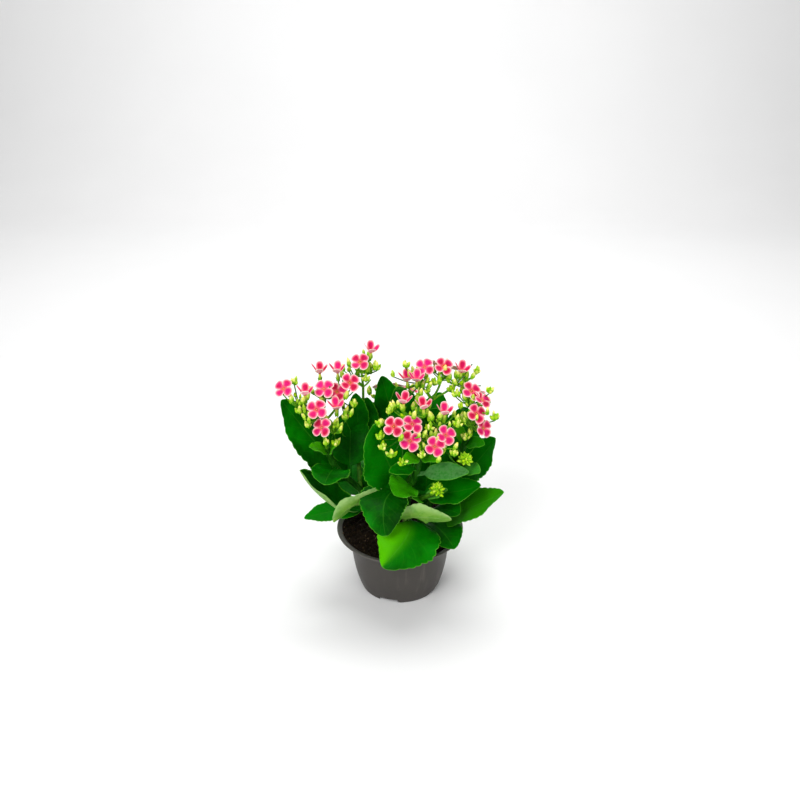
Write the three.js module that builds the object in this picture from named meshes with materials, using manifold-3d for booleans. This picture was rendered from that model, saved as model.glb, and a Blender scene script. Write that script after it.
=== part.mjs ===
// A flaming katy in its nursery pot: a thin moulded pot, the potting soil, four leafy stems, the flower
// sprays that stand on them and two young flower heads.
// Millimetres, +Z up. The origin is on the flat pad in the middle of the pot's underside, -Y is the front.
import * as THREE from "three";
import { mergeVertices } from "three/addons/utils/BufferGeometryUtils.js";
import Module from "manifold-3d";

const wasm = await Module();
wasm.setup();

// Pot
const potHeight = 60;
const lipRadius = 57.5;
const wallTopRadius = 45.6;
const flareStart = 49;
const footRadius = 36;
const wallBulge = 2;
const wallThickness = 1.5;
const footHeight = 6;
const padRadius = 20;
const grooveOuterRadius = 31;
const grooveDepth = 4.5;
const notchWidth = 18;
const notchHeight = 4.5;
const notchTurn = -17;
const drainHoles = 6;
const drainRadius = 2.6;
const potSides = 24;
const midWall = 26;

// Soil
const soilHeight = 57.8;
const soilBump = 1.1;
const seatGap = 0.3;
const stemHoleDepth = 9;

// Stems, leaves and flowers
const stemRadius = 3.1;
const sideStemRadius = 1.9;
const stemSides = 6;
const stemSteps = 8;
const sideStemSteps = 2;
const stalkRadius = 1.5;
const branchRadius = 0.9;
const pedicelRadius = 0.6;
const knotRadius = 2.1;
const petioleShare = 0.2;
const petioleHalfWidth = 2.1;
const bladeThickness = 1.3;
const bladeRows = 8;
const smallBladeRows = 4;
const bladeColumns = 2;
const crenations = 4.5;
const crenationDepth = 0.07;
const petalLength = 8.6;
const petalHalfWidth = 4.3;
const petalThickness = 0.7;
const petalRaise = 20;
const petalCorners = [
  [0.58, -1],
  [1, -0.34],
  [0.84, 0.78],
];
const flowerTube = 8;
const budLength = 7.5;
const budRadius = 1.45;

const colours = {
  pot: [0x5f5854, 0.6],
  soil: [0x2a1d17, 0.95],
  leaf: [0x1f7a1c, 0.4],
  flower: [0xdf2f78, 0.5],
  head: [0xa6cf3a, 0.5],
};

const v3 = (p) => new THREE.Vector3(...p);

// A repeatable number from 0 to 1 for each whole number, so that every random look is the same each time.
function chance(n) {
  const s = Math.sin(n * 12.9898 + 4.1414) * 43758.5453;
  return s - Math.floor(s);
}

// Closed solids from three.js geometry, and back
function solidOf(geometry) {
  const bare = geometry.clone();
  bare.deleteAttribute("normal");
  bare.deleteAttribute("uv");
  const merged = mergeVertices(bare, 1e-4);
  return new wasm.Manifold(
    new wasm.Mesh({
      numProp: 3,
      vertProperties: new Float32Array(merged.attributes.position.array),
      triVerts: new Uint32Array(merged.index.array),
    }),
  );
}

function geometryOf(solid) {
  const mesh = solid.getMesh();
  const geometry = new THREE.BufferGeometry();
  geometry.setAttribute("position", new THREE.BufferAttribute(mesh.vertProperties, 3));
  geometry.setIndex(new THREE.BufferAttribute(mesh.triVerts, 1));
  geometry.computeVertexNormals();
  return geometry;
}

function fuse(solids) {
  return solids.reduce((whole, next) => whole.add(next));
}

// A round rod of few sides along a smooth line
function rod(points, radius, sides, steps) {
  const line = new THREE.CatmullRomCurve3(points, false, "centripetal");
  const section = new THREE.Shape();
  for (let i = 0; i < sides; i++) {
    const turn = (i / sides) * 2 * Math.PI;
    const x = radius * Math.cos(turn);
    const y = radius * Math.sin(turn);
    if (i === 0) section.moveTo(x, y);
    else section.lineTo(x, y);
  }
  const options = { steps, extrudePath: line, bevelEnabled: false };
  return solidOf(new THREE.ExtrudeGeometry(section, options));
}

// A closed sheet from two grids of points, one on each face, with the same triangles on both
function sheet(rows, columns, pointAt) {
  const position = [];
  const index = [];
  const perRow = columns + 1;
  const half = (rows + 1) * perRow;
  for (const side of [1, -1]) {
    for (let i = 0; i <= rows; i++) {
      for (let j = 0; j <= columns; j++) position.push(...pointAt(i / rows, j / columns, side));
    }
  }
  const quad = (a, b, c, d) => index.push(a, b, c, a, c, d);
  for (let i = 0; i < rows; i++) {
    for (let j = 0; j < columns; j++) {
      const a = i * perRow + j;
      quad(a, a + 1, a + perRow + 1, a + perRow);
      index.push(half + a, half + a + perRow + 1, half + a + 1);
      index.push(half + a, half + a + perRow, half + a + perRow + 1);
    }
  }
  const rim = [];
  for (let j = 0; j < columns; j++) rim.push(j);
  for (let i = 0; i < rows; i++) rim.push(i * perRow + columns);
  for (let j = columns; j > 0; j--) rim.push(rows * perRow + j);
  for (let i = rows; i > 0; i--) rim.push(i * perRow);
  rim.forEach((a, k) => {
    const b = rim[(k + 1) % rim.length];
    quad(a, half + a, half + b, b);
  });
  const geometry = new THREE.BufferGeometry();
  geometry.setAttribute("position", new THREE.Float32BufferAttribute(position, 3));
  geometry.setIndex(index);
  return solidOf(geometry);
}

// A leaf: a stalk that widens into an oval blade with a scalloped, waved margin. The midrib is a bow from
// root to tip, raised by arch towards the side that the leaf faces and drawn aside by sway. fold lifts both
// margins, in degrees.
function leafBlade(root, leaf, rows, columns) {
  const tip = v3(leaf.tip);
  const face = v3(leaf.face).normalize();
  const bend = root.clone().add(tip).multiplyScalar(0.5).addScaledVector(face, 2 * (leaf.arch ?? 0));
  bend.add(v3(leaf.sway ?? [0, 0, 0]));
  const midrib = new THREE.QuadraticBezierCurve3(root, bend, tip);
  const length = root.distanceTo(tip);
  const fold = THREE.MathUtils.degToRad(leaf.fold ?? 12);
  const wave = leaf.wave ?? 0.05 * leaf.width;
  return sheet(rows, columns, (along, across, side) => {
    const u = 0.995 * (1 - (1 - along) ** 1.3);
    const v = 2 * across - 1;
    const s = Math.max(0, (u - petioleShare) / (1 - petioleShare));
    const oval = Math.sin(Math.PI * s ** 0.85) ** 0.62;
    const scallop = 1 - crenationDepth * (1 - Math.abs(Math.sin(crenations * Math.PI * s)));
    const blade = 0.5 * leaf.width * oval * scallop;
    const half = Math.hypot(blade, petioleHalfWidth * (1 - 0.6 * u)) - 0.4 * petioleHalfWidth * u;
    const tangent = midrib.getTangent(u);
    const up = face.clone().addScaledVector(tangent, -face.dot(tangent)).normalize();
    const out = tangent.clone().cross(up);
    const ripple = wave * v * v * oval * Math.sin(2 * Math.PI * (2 * s + 0.13 * length) + (v > 0 ? 1.9 : 0));
    const lift = half * Math.sin(fold) * Math.abs(v) + ripple;
    const thick = bladeThickness * (1 - 0.3 * Math.abs(v)) + 1.9 * Math.max(0, 1 - u / 0.3);
    const point = midrib.getPoint(u);
    point.addScaledVector(out, half * Math.cos(fold) * v);
    point.addScaledVector(up, lift + 0.5 * side * thick);
    return point.toArray();
  });
}

// A closed solid through rings of equally many points, ending in a flat ring or in one point
function loft(rings, apex) {
  const sides = rings[0].length;
  const position = rings.flat().flatMap((p) => p.toArray());
  const index = [];
  const last = (rings.length - 1) * sides;
  for (let k = 0; k < sides; k++) {
    const next = (k + 1) % sides;
    for (let r = 0; r < last; r += sides) {
      index.push(r + k, r + next, r + sides + next, r + k, r + sides + next, r + sides + k);
    }
    if (k > 0 && k < sides - 1) index.push(0, next, k);
    if (apex) index.push(last + k, last + next, last + sides);
    else if (k > 0 && k < sides - 1) index.push(last, last + k, last + next);
  }
  if (apex) position.push(...apex.toArray());
  const geometry = new THREE.BufferGeometry();
  geometry.setAttribute("position", new THREE.Float32BufferAttribute(position, 3));
  geometry.setIndex(index);
  return solidOf(geometry);
}

// A few points round a centre, square to a direction
function ring(centre, direction, radius, sides, spin = 0) {
  const turn = new THREE.Quaternion().setFromUnitVectors(new THREE.Vector3(0, 0, 1), direction);
  return Array.from({ length: sides }, (_, k) => {
    const a = spin + (k * 2 * Math.PI) / sides;
    const point = new THREE.Vector3(radius * Math.cos(a), radius * Math.sin(a), 0);
    return point.applyQuaternion(turn).add(centre);
  });
}

// A bud on its stalk: a slim pointed spindle along a direction
function bud(start, direction, stalk, size) {
  const at = (distance) => start.clone().addScaledVector(direction, distance);
  const rings = [
    ring(start, direction, pedicelRadius, 3),
    ring(at(stalk), direction, pedicelRadius, 3),
    ring(at(stalk + 0.35 * budLength * size), direction, budRadius * size, 3),
  ];
  return loft(rings, at(stalk + budLength * size));
}

// The way a flower looks: it leans from upright by lean degrees, towards turn degrees round from the front
function bloomDirection(lean, turn) {
  const a = THREE.MathUtils.degToRad(lean);
  const b = THREE.MathUtils.degToRad(turn);
  return new THREE.Vector3(Math.sin(a) * Math.sin(b), -Math.sin(a) * Math.cos(b), Math.cos(a));
}

// A bloom: four broad petals in one cross, on a slim tube and a stalk that comes from the end of its
// branch. open is 1 for a full bloom and less for a half-open one, whose narrower petals stand up.
function bloom(stalkEnd, centre, direction, spin, open) {
  const turn = new THREE.Quaternion().setFromUnitVectors(new THREE.Vector3(0, 0, 1), direction);
  const place = (x, y, z) => new THREE.Vector3(x, y, z).applyQuaternion(turn).add(centre);
  const outline = [];
  for (let k = 0; k < 4; k++) {
    const a = spin + (k * Math.PI) / 2;
    const corners = [[0.26, -0.26 * petalLength], ...petalCorners.map(([x, y]) => [x, y * petalHalfWidth])];
    for (const [along, across] of corners) {
      const x = along * petalLength;
      const y = across * (1 - 0.6 * (1 - open) * along);
      const squeeze = 1 - 0.5 * (1 - open) * along;
      const raise = (1 - open) * petalRaise * along ** 1.3;
      outline.push([
        squeeze * (x * Math.cos(a) - y * Math.sin(a)),
        squeeze * (x * Math.sin(a) + y * Math.cos(a)),
        raise,
      ]);
    }
  }
  const count = outline.length;
  const perPetal = count / 4;
  const tubeEnd = centre.clone().addScaledVector(direction, -flowerTube);
  const stalk = tubeEnd.clone().sub(stalkEnd).normalize();
  const cornerTurn = spin - Math.PI / 4;
  const points = [
    ...outline.map(([x, y, z]) => place(x, y, z + petalThickness)),
    ...outline.map(([x, y, z]) => place(x, y, z)),
    ...ring(centre.clone().addScaledVector(direction, -0.4), direction, 1.35, 4, cornerTurn),
    ...ring(tubeEnd, direction, 1.2, 4, cornerTurn),
    ...ring(stalkEnd, stalk, pedicelRadius, 4, cornerTurn),
    place(0, 0, petalThickness - 0.3),
  ];
  const tube = 2 * count;
  const middle = points.length - 1;
  const index = [];
  for (let i = 0; i < count; i++) {
    const j = (i + 1) % count;
    index.push(middle, i, j, i, count + i, count + j, i, count + j, j);
  }
  for (let k = 0; k < 4; k++) {
    const next = (k + 1) % 4;
    const first = count + perPetal * k;
    const far = first + Math.floor(perPetal / 2);
    for (let i = first; i < first + perPetal; i++) {
      const from = i < far ? tube + k : tube + next;
      index.push(from, count + ((i - count + 1) % count), i);
    }
    index.push(tube + k, tube + next, far);
    for (let r = tube; r < tube + 8; r += 4) {
      index.push(r + k, r + 4 + k, r + 4 + next, r + k, r + 4 + next, r + next);
    }
  }
  const end = tube + 8;
  index.push(end, end + 2, end + 1, end, end + 3, end + 2);
  const geometry = new THREE.BufferGeometry();
  geometry.setAttribute("position", new THREE.Float32BufferAttribute(points.flatMap((p) => p.toArray()), 3));
  geometry.setIndex(index);
  return solidOf(geometry);
}

// The outside of the pot's wall at a height: a cone that bulges a little, most of all low down
function wallRadius(z) {
  const t = THREE.MathUtils.clamp((z - 3) / (flareStart - 3), 0, 1);
  return footRadius + 1.2 + (wallTopRadius - footRadius - 1.2) * t + wallBulge * 4 * t * (1 - t) ** 1.5;
}

// Pot: a turned shell with a flat middle pad and a foot ring, notched at four places
function makePot() {
  const outer = [
    [footRadius - 1, 0],
    [footRadius, 0.5],
    [wallRadius(3), 3],
  ];
  const inner = [];
  for (const z of [12, midWall, flareStart]) outer.push([wallRadius(z), z]);
  for (const z of [flareStart, midWall]) inner.push([wallRadius(z) - wallThickness, z]);
  const flare = [
    [wallTopRadius + 1.8, flareStart + 3],
    [wallTopRadius + 5, flareStart + 6.2],
    [lipRadius - 0.3, potHeight - 1.2],
    [lipRadius, potHeight - 0.6],
    [lipRadius - 0.4, potHeight],
    [lipRadius - 2, potHeight - 0.2],
    [wallTopRadius + 4.1, flareStart + 7.4],
    [wallTopRadius + 0.6, flareStart + 4],
  ];
  const floor = [
    [wallRadius(footHeight) - wallThickness, footHeight],
    [padRadius + 2, footHeight],
    [padRadius - 1, wallThickness],
    [0, wallThickness],
  ];
  const underside = [
    [0, 0],
    [padRadius, 0],
    [padRadius + 2.5, grooveDepth],
    [grooveOuterRadius - 1, grooveDepth],
    [grooveOuterRadius, 0],
  ];
  const profile = [...underside, ...outer, ...flare, ...inner, ...floor];
  const points = profile.map(([r, z]) => new THREE.Vector2(r, z));
  const turned = new THREE.LatheGeometry(points, potSides);
  turned.rotateX(Math.PI / 2);
  let pot = solidOf(turned);
  for (let k = 0; k < 4; k++) {
    const notch = new THREE.BoxGeometry(notchWidth, 12, 2 * notchHeight);
    notch.translate(0, -(grooveOuterRadius + 4), 0);
    notch.rotateZ(THREE.MathUtils.degToRad(notchTurn + 90 * k));
    pot = pot.subtract(solidOf(notch));
  }
  for (let k = 0; k < drainHoles; k++) {
    const drain = new THREE.CylinderGeometry(drainRadius, drainRadius, 2 * footHeight, 8);
    drain.rotateX(Math.PI / 2);
    drain.translate((padRadius + grooveOuterRadius) / 2 + 0.5, 0, footHeight);
    drain.rotateZ(((k + 0.5) / drainHoles) * 2 * Math.PI);
    pot = pot.subtract(solidOf(drain));
  }
  return pot;
}

// The height of the bumpy top of the soil
function soilTop(x, y) {
  const humps = Math.sin(0.31 * x + 1) * Math.cos(0.27 * y);
  const lumps = 0.6 * Math.sin(0.83 * x - 0.62 * y);
  return soilHeight + soilBump * (humps + lumps);
}

// Soil: it fills the pot, with a plain hole for each stem
function makeSoil(stemFeet) {
  const clear = wallThickness + seatGap;
  const profile = [
    [0, clear],
    [padRadius - 1.3, clear],
    [padRadius + 1.7, footHeight + seatGap],
    [wallRadius(footHeight) - clear - 0.3, footHeight + seatGap],
  ];
  for (const z of [midWall, flareStart - 1]) profile.push([wallRadius(z) - clear, z]);
  profile.push([wallTopRadius - 1.8, flareStart + 0.2]);
  profile.push([wallTopRadius + 0.2, flareStart + 4.3]);
  profile.push([wallTopRadius + 3.8, flareStart + 7.8]);
  profile.push([wallTopRadius + 7.6, potHeight - 1.1]);
  for (const r of [46, 30, 15, 0]) profile.push([r, soilHeight]);
  const points = profile.map(([r, z]) => new THREE.Vector2(r, z));
  const turned = new THREE.LatheGeometry(points, potSides);
  turned.rotateX(Math.PI / 2);
  turned.scale(0.992, 0.992, 1);
  const p = turned.attributes.position;
  for (let i = 0; i < p.count; i++) {
    if (p.getZ(i) === soilHeight) p.setZ(i, soilTop(p.getX(i), p.getY(i)));
  }
  let soil = solidOf(turned);
  for (const [x, y] of stemFeet) {
    const hole = new THREE.CylinderGeometry(stemRadius + 0.8, stemRadius + 0.8, 3 * stemHoleDepth, 8);
    hole.rotateX(Math.PI / 2);
    hole.translate(x, y, soilHeight - stemHoleDepth + 1.5 * stemHoleDepth);
    soil = soil.subtract(solidOf(hole));
  }
  return soil;
}

// Leafy stems. A side stem leaves its parent at a share of the parent's length. Each leaf is rooted at a
// share of its stem's length; tip and face are its place and the way that its upper side looks. Its blade
// has eight rows of faces, or the number given.
const shoots = {
  shoot_left: [
    {
      name: "main",
      path: [[-14, 2], [-14, 2, 60], [-34, -4, 98], [-56, -12, 128], [-62, -15, 147]],
      leaves: [
        { at: 0.42, tip: [-100, -4, 187], width: 48, face: [0.5, -0.7, 0.5], arch: -6, fold: 16 },
        { at: 0.24, tip: [-84, -30, 134], width: 40, face: [0.5, -0.15, 0.85], arch: -15, fold: 34 },
        { at: 0.8, tip: [-62, -47, 130], width: 36, face: [0, -0.45, 0.89], arch: 5 },
        { at: 0.64, tip: [-43, 20, 168], width: 42, face: [0.15, -0.85, 0.5], arch: -3, rows: 7 },
        { at: 0.27, tip: [-86, -9, 73], width: 25, face: [0, -0.35, 0.94], arch: 4 },
        { at: 0.34, tip: [-72, 40, 120], width: 44, face: [0.3, -0.35, 0.89], arch: -8, rows: 7 },
        { at: 0.14, tip: [-24, 7, 124], width: 38, face: [0.1, -0.85, 0.5], arch: -3, rows: 7 },
        { at: 0.92, tip: [-76, -24, 153], width: 15, face: [0.3, -0.2, 0.95], arch: 3, small: true },
        { at: 0.92, tip: [-52, -22, 156], width: 15, face: [-0.3, -0.4, 0.9], arch: 3, small: true },
      ],
    },
    {
      name: "side",
      parent: "main",
      from: 0.5,
      path: [[-37, 14, 125], [-33, 18, 156]],
      leaves: [
        { at: 0.45, tip: [-29, 26, 176], width: 32, face: [0.1, -0.9, 0.4], arch: -3 },
        { at: 0.68, tip: [-38, 8, 188], width: 22, face: [0.1, -0.9, 0.4], arch: -3 },
      ],
    },
  ],
  shoot_front: [
    {
      name: "main",
      path: [[5, -12], [5, -12, 60], [7, -18, 100], [14, -27, 132], [18, -30, 152]],
      leaves: [
        {
          at: 0.28,
          tip: [-15, -66, 62],
          width: 60,
          face: [0.1, -0.3, 0.95],
          arch: 10,
          fold: -4,
          sway: [22, 0, 0],
        },
        { at: 0.46, tip: [-21, -40, 182], width: 54, face: [0.4, -0.85, 0.34], arch: -8, fold: 10 },
        { at: 0.56, tip: [-12, -54, 84], width: 46, face: [-0.2, -0.35, 0.92], arch: 9, sway: [-15, 0, 18] },
        { at: 0.4, tip: [-56, -43, 91], width: 34, face: [-0.3, 0.75, 0.6], arch: 0, sway: [-10, -6, 30] },
        { at: 0.2, tip: [43, -50, 98], width: 29, face: [-0.1, 0.95, 0.3], arch: 0, sway: [-27, -22, 25] },
        { at: 0.56, tip: [68, -34, 122], width: 31, face: [-0.3, -0.35, 0.88], arch: -7 },
        { at: 0.64, tip: [-5, -48, 121], width: 30, face: [0.1, -0.5, 0.86], arch: 4 },
        { at: 0.93, tip: [2, -46, 150], width: 14, face: [0.2, -0.4, 0.9], arch: 3, small: true },
        { at: 0.82, tip: [-9, -47, 142], width: 15, face: [0.1, -0.45, 0.88], arch: 2, small: true },
        { at: 0.76, tip: [57, -40, 138], width: 18, face: [-0.2, -0.6, 0.78], arch: 3, small: true },
        { at: 0.93, tip: [32, -42, 150], width: 14, face: [-0.2, -0.4, 0.9], arch: 3, small: true },
      ],
    },
    {
      name: "side",
      parent: "main",
      from: 0.5,
      path: [[18, -32, 108], [26, -40, 117]],
      leaves: [
        { at: 0.5, tip: [10, -46, 117], width: 16, face: [0.2, -0.5, 0.85], small: true },
        { at: 0.55, tip: [40, -36, 119], width: 13, face: [-0.3, -0.4, 0.86], small: true },
      ],
    },
  ],
  shoot_right: [
    {
      name: "main",
      path: [[18, 2], [18, 2, 60], [34, 0, 96], [50, -3, 126], [57, -4, 150]],
      leaves: [
        { at: 0.12, tip: [88, -32, 114], width: 36, face: [-0.4, -0.35, 0.85], arch: -5, fold: 12 },
        { at: 0.4, tip: [83, 2, 148], width: 42, face: [-0.75, -0.45, 0.48], arch: -7 },
        { at: 0.7, tip: [58, 28, 166], width: 38, face: [-0.25, -0.8, 0.55], arch: -4, rows: 7 },
        { at: 0.56, tip: [42, -26, 158], width: 32, face: [0, -0.8, 0.6], arch: -3 },
        { at: 0.12, tip: [51, -34, 93], width: 34, face: [0, -0.3, 0.95], arch: 10 },
        { at: 0.14, tip: [47, -42, 63], width: 42, face: [0.1, -0.2, 0.97], arch: 7 },
        { at: 0.22, tip: [25, -5, 134], width: 38, face: [0.1, -0.85, 0.5], arch: -3 },
        { at: 0.3, tip: [74, 44, 108], width: 44, face: [-0.3, -0.25, 0.92], arch: -6, rows: 7 },
        { at: 0.93, tip: [72, -14, 150], width: 15, face: [-0.3, -0.3, 0.9], arch: 3, small: true },
        { at: 0.93, tip: [46, 6, 158], width: 15, face: [0.3, -0.3, 0.9], arch: 3, small: true },
      ],
    },
    {
      name: "side",
      parent: "main",
      from: 0.62,
      path: [[49, -14, 130], [52, -25, 139]],
      leaves: [
        { at: 0.6, tip: [66, -38, 136], width: 18, face: [-0.2, -0.3, 0.93], small: true },
        { at: 0.6, tip: [41, -29, 147], width: 13, face: [0.2, -0.4, 0.9], small: true },
      ],
    },
  ],
  shoot_back: [
    {
      name: "main",
      path: [[0, 17], [0, 17, 60], [8, 22, 105], [18, 18, 140], [24, 14, 165]],
      leaves: [
        { at: 0.2, tip: [-36, 84, 92], width: 48, face: [0, 0.1, 1], arch: 4, rows: 7 },
        { at: 0.26, tip: [24, 90, 96], width: 50, face: [0, 0.2, 1], arch: 5, rows: 7 },
        { at: 0.5, tip: [-30, 56, 158], width: 42, face: [0.35, -0.5, 0.8], arch: -6, rows: 7 },
        { at: 0.58, tip: [38, 60, 166], width: 42, face: [-0.3, -0.5, 0.8], arch: -6, rows: 7 },
        { at: 0.72, tip: [-3, 26, 186], width: 36, face: [0.3, -0.85, 0.42], arch: -4, rows: 7 },
        { at: 0.78, tip: [33, 2, 176], width: 30, face: [0, -0.85, 0.5], arch: -3, rows: 7 },
        { at: 0.44, tip: [-16, 32, 194], width: 36, face: [0.1, -0.9, 0.4], arch: -5, rows: 7 },
        { at: 0.36, tip: [54, 44, 138], width: 40, face: [-0.4, -0.3, 0.86], arch: -6, rows: 7 },
        { at: 0.93, tip: [10, 10, 172], width: 14, face: [0.3, -0.2, 0.9], arch: 3, small: true },
      ],
    },
    {
      name: "side",
      parent: "main",
      from: 0.34,
      path: [[0, 36, 118], [-3, 44, 142]],
      leaves: [
        { at: 0.75, tip: [-20, 58, 134], width: 20, face: [0.1, -0.1, 1], small: true },
        { at: 0.8, tip: [12, 58, 140], width: 20, face: [-0.1, -0.1, 1], small: true },
      ],
    },
  ],
};

// Flower sprays. crown is where the stalk forks, each arm ends at a place with its blooms
// [x, y, z, lean, turn, open] and a number of buds.
const sprays = {
  spray_left: {
    on: ["shoot_left", "main"],
    crown: [-66, -12, 168],
    arms: [
      { end: [-85, -11, 184], blooms: [[-96, -10, 200, 48, -22], [-78, -15, 197, 5, 10, 0.62]], buds: 3 },
      { end: [-70, -19, 175], blooms: [[-68, -25, 188, 52, -5], [-64, -30, 174, 52, -32]], buds: 2 },
      {
        end: [-63, 0, 187],
        blooms: [[-63, -8, 199, 46, -12], [-53, -1, 193, 40, 12], [-68, 10, 206, 4, 0, 0.62]],
        buds: 3,
      },
      {
        end: [-50, 1, 184],
        blooms: [[-53, 11, 206, 6, -20, 0.62], [-42, 0, 201, 48, 15], [-53, -14, 184, 14, -5, 0.6]],
        buds: 3,
      },
      { end: [-55, -20, 164], blooms: [], buds: 3 },
    ],
  },
  spray_upper_left: {
    on: ["shoot_left", "side"],
    crown: [-32, 20, 190],
    arms: [
      { end: [-33, 19, 202], blooms: [[-34, 14, 214, 42, -10], [-25, 20, 221, 12, 40, 0.62]], buds: 3 },
      { end: [-40, 26, 196], blooms: [[-38, 34, 202, 34, 200]], buds: 2 },
    ],
  },
  spray_front: {
    on: ["shoot_front", "main"],
    crown: [16, -33, 162],
    arms: [
      {
        end: [2, -35, 168],
        blooms: [[-5, -42, 181, 52, -14], [8, -46, 170, 60, 0], [10, -38, 181, 34, 16]],
        buds: 4,
      },
      { end: [28, -36, 162], blooms: [[28, -46, 165, 60, 4], [37, -40, 172, 50, 20]], buds: 3 },
      { end: [9, -28, 180], blooms: [[3, -27, 195, 6, 10, 0.62], [19, -29, 191, 5, -30, 0.62]], buds: 3 },
      { end: [32, -26, 172], blooms: [[36, -27, 185, 6, 30, 0.62]], buds: 3 },
    ],
  },
  spray_back: {
    on: ["shoot_back", "main"],
    crown: [28, 14, 180],
    arms: [
      {
        end: [18, 14, 194],
        blooms: [[21, 15, 209, 46, -6], [14, 5, 201, 14, -5, 0.6], [6, 10, 199, 12, -30, 0.55]],
        buds: 4,
      },
      { end: [36, 18, 196], blooms: [[37, 14, 210, 42, 10], [30, 31, 206, 30, 185]], buds: 3 },
      { end: [48, 13, 194], blooms: [[52, 10, 207, 16, 25, 0.65], [52, 29, 201, 36, 150]], buds: 4 },
    ],
  },
  spray_right: {
    on: ["shoot_right", "main"],
    crown: [60, -4, 164],
    arms: [
      {
        end: [60, 0, 180],
        blooms: [[60, -1, 194, 44, 20], [69, -4, 187, 34, 50], [66, 13, 189, 34, 140]],
        buds: 3,
      },
      { end: [60, -9, 166], blooms: [[64, -12, 178, 50, 20], [70, -13, 165, 60, 35]], buds: 3 },
    ],
  },
  spray_rear: {
    on: ["shoot_back", "side"],
    crown: [-5, 48, 155],
    arms: [
      { end: [-12, 52, 163], blooms: [[-18, 56, 173, 34, 210], [-8, 44, 176, 12, 180]], buds: 2 },
      { end: [2, 54, 161], blooms: [[-2, 63, 170, 42, 180], [9, 54, 172, 24, 130]], buds: 2 },
    ],
  },
};

// Young flower heads, still in green bud
const heads = {
  head_front: { on: ["shoot_front", "side"], buds: 9, radius: 4.2 },
  head_right: { on: ["shoot_right", "side"], buds: 10, radius: 4.6 },
};

const stemBottom = soilHeight - stemHoleDepth + seatGap;
const stemLines = {};

function stemLine(shoot, stem) {
  const start = stem.parent
    ? stemLines[shoot][stem.parent].getPointAt(stem.from)
    : v3([...stem.path[0], stemBottom]);
  const rest = stem.parent ? stem.path : stem.path.slice(1);
  return new THREE.CatmullRomCurve3([start, ...rest.map(v3)], false, "centripetal");
}

function makeShoot(name, stems) {
  stemLines[name] = {};
  const pieces = [];
  for (const stem of stems) {
    const line = stemLine(name, stem);
    stemLines[name][stem.name] = line;
    const thick = stem.parent ? sideStemRadius : stemRadius;
    pieces.push(rod(line.points, thick, stemSides, stem.parent ? sideStemSteps : stemSteps));
    for (const leaf of stem.leaves) {
      const root = line.getPointAt(leaf.at);
      const rows = leaf.small ? smallBladeRows : (leaf.rows ?? bladeRows);
      pieces.push(leafBlade(root, leaf, rows, bladeColumns));
    }
  }
  return fuse(pieces);
}

// The rim of a spray's stalk stands just clear of the end of its stem
function stalkFoot([shoot, stem]) {
  const line = stemLines[shoot][stem];
  return line.getPointAt(1).addScaledVector(line.getTangentAt(1), seatGap);
}

function makeSpray(spray, seed) {
  const foot = stalkFoot(spray.on);
  const [shoot, stem] = spray.on;
  const along = stemLines[shoot][stem].getTangentAt(1);
  const crown = v3(spray.crown);
  const pieces = [rod([foot, foot.clone().addScaledVector(along, 3), crown], stalkRadius, 5, 4)];
  spray.arms.forEach((arm, a) => {
    const end = v3(arm.end);
    const knee = crown.clone().lerp(end, 0.55).add(new THREE.Vector3(0, 0, -1.5));
    pieces.push(rod([crown, knee, end], branchRadius, 4, 2));
    const knot = new THREE.OctahedronGeometry(knotRadius, 0);
    knot.translate(...end.toArray());
    pieces.push(solidOf(knot));
    arm.blooms.forEach(([x, y, z, lean, turn, open], b) => {
      const direction = bloomDirection(lean, turn);
      const spin = (open ? 0 : Math.PI / 4) + 0.5 * (chance(seed + 31 * a + 7 * b) - 0.5);
      pieces.push(bloom(end, new THREE.Vector3(x, y, z), direction, spin, open ?? 1));
    });
    for (let b = 0; b < arm.buds; b++) {
      const n = seed + 53 * a + 11 * b;
      const around = 360 * ((b + 0.5 * chance(n + 1)) / arm.buds);
      const direction = bloomDirection(20 + 50 * chance(n), around);
      pieces.push(bud(end, direction, 5 + 5 * chance(n + 2), 0.75 + 0.35 * chance(n + 3)));
    }
  });
  return fuse(pieces);
}

// A tight head of buds that stand out of a small round core
function makeHead(head, seed) {
  const foot = stalkFoot(head.on);
  const [shoot, stem] = head.on;
  const along = stemLines[shoot][stem].getTangentAt(1);
  const middle = foot.clone().addScaledVector(along, 5 + head.radius);
  const core = new THREE.IcosahedronGeometry(head.radius, 0);
  core.translate(...middle.toArray());
  const pieces = [rod([foot, middle], stalkRadius, 5, 1), solidOf(core)];
  for (let b = 0; b < head.buds; b++) {
    const n = seed + 17 * b;
    const lean = 10 + 95 * ((b + 0.5) / head.buds);
    const direction = bloomDirection(lean, 137.5 * b + 20 * chance(n));
    pieces.push(bud(middle, direction, 0.6 * head.radius, 0.72 + 0.15 * chance(n + 1)));
  }
  return fuse(pieces);
}

// The assembly
const plant = new THREE.Group();
plant.name = "potted_flaming_katy";

function addNode(name, solid, [colour, roughness]) {
  const material = new THREE.MeshStandardMaterial({ color: colour, roughness, metalness: 0 });
  const mesh = new THREE.Mesh(geometryOf(solid), material);
  mesh.name = name;
  plant.add(mesh);
}

addNode("pot", makePot(), colours.pot);
addNode("soil", makeSoil(Object.values(shoots).map((stems) => stems[0].path[0])), colours.soil);
for (const [name, stems] of Object.entries(shoots)) addNode(name, makeShoot(name, stems), colours.leaf);
Object.entries(sprays).forEach(([name, spray], i) => {
  addNode(name, makeSpray(spray, 100 * (i + 1)), colours.flower);
});
Object.entries(heads).forEach(([name, head], i) => {
  addNode(name, makeHead(head, 1000 + 100 * i), colours.head);
});

export default plant;
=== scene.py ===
import math

import bpy
import numpy as np
from mathutils import Matrix, Quaternion, Vector
from mathutils.noise import noise


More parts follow.
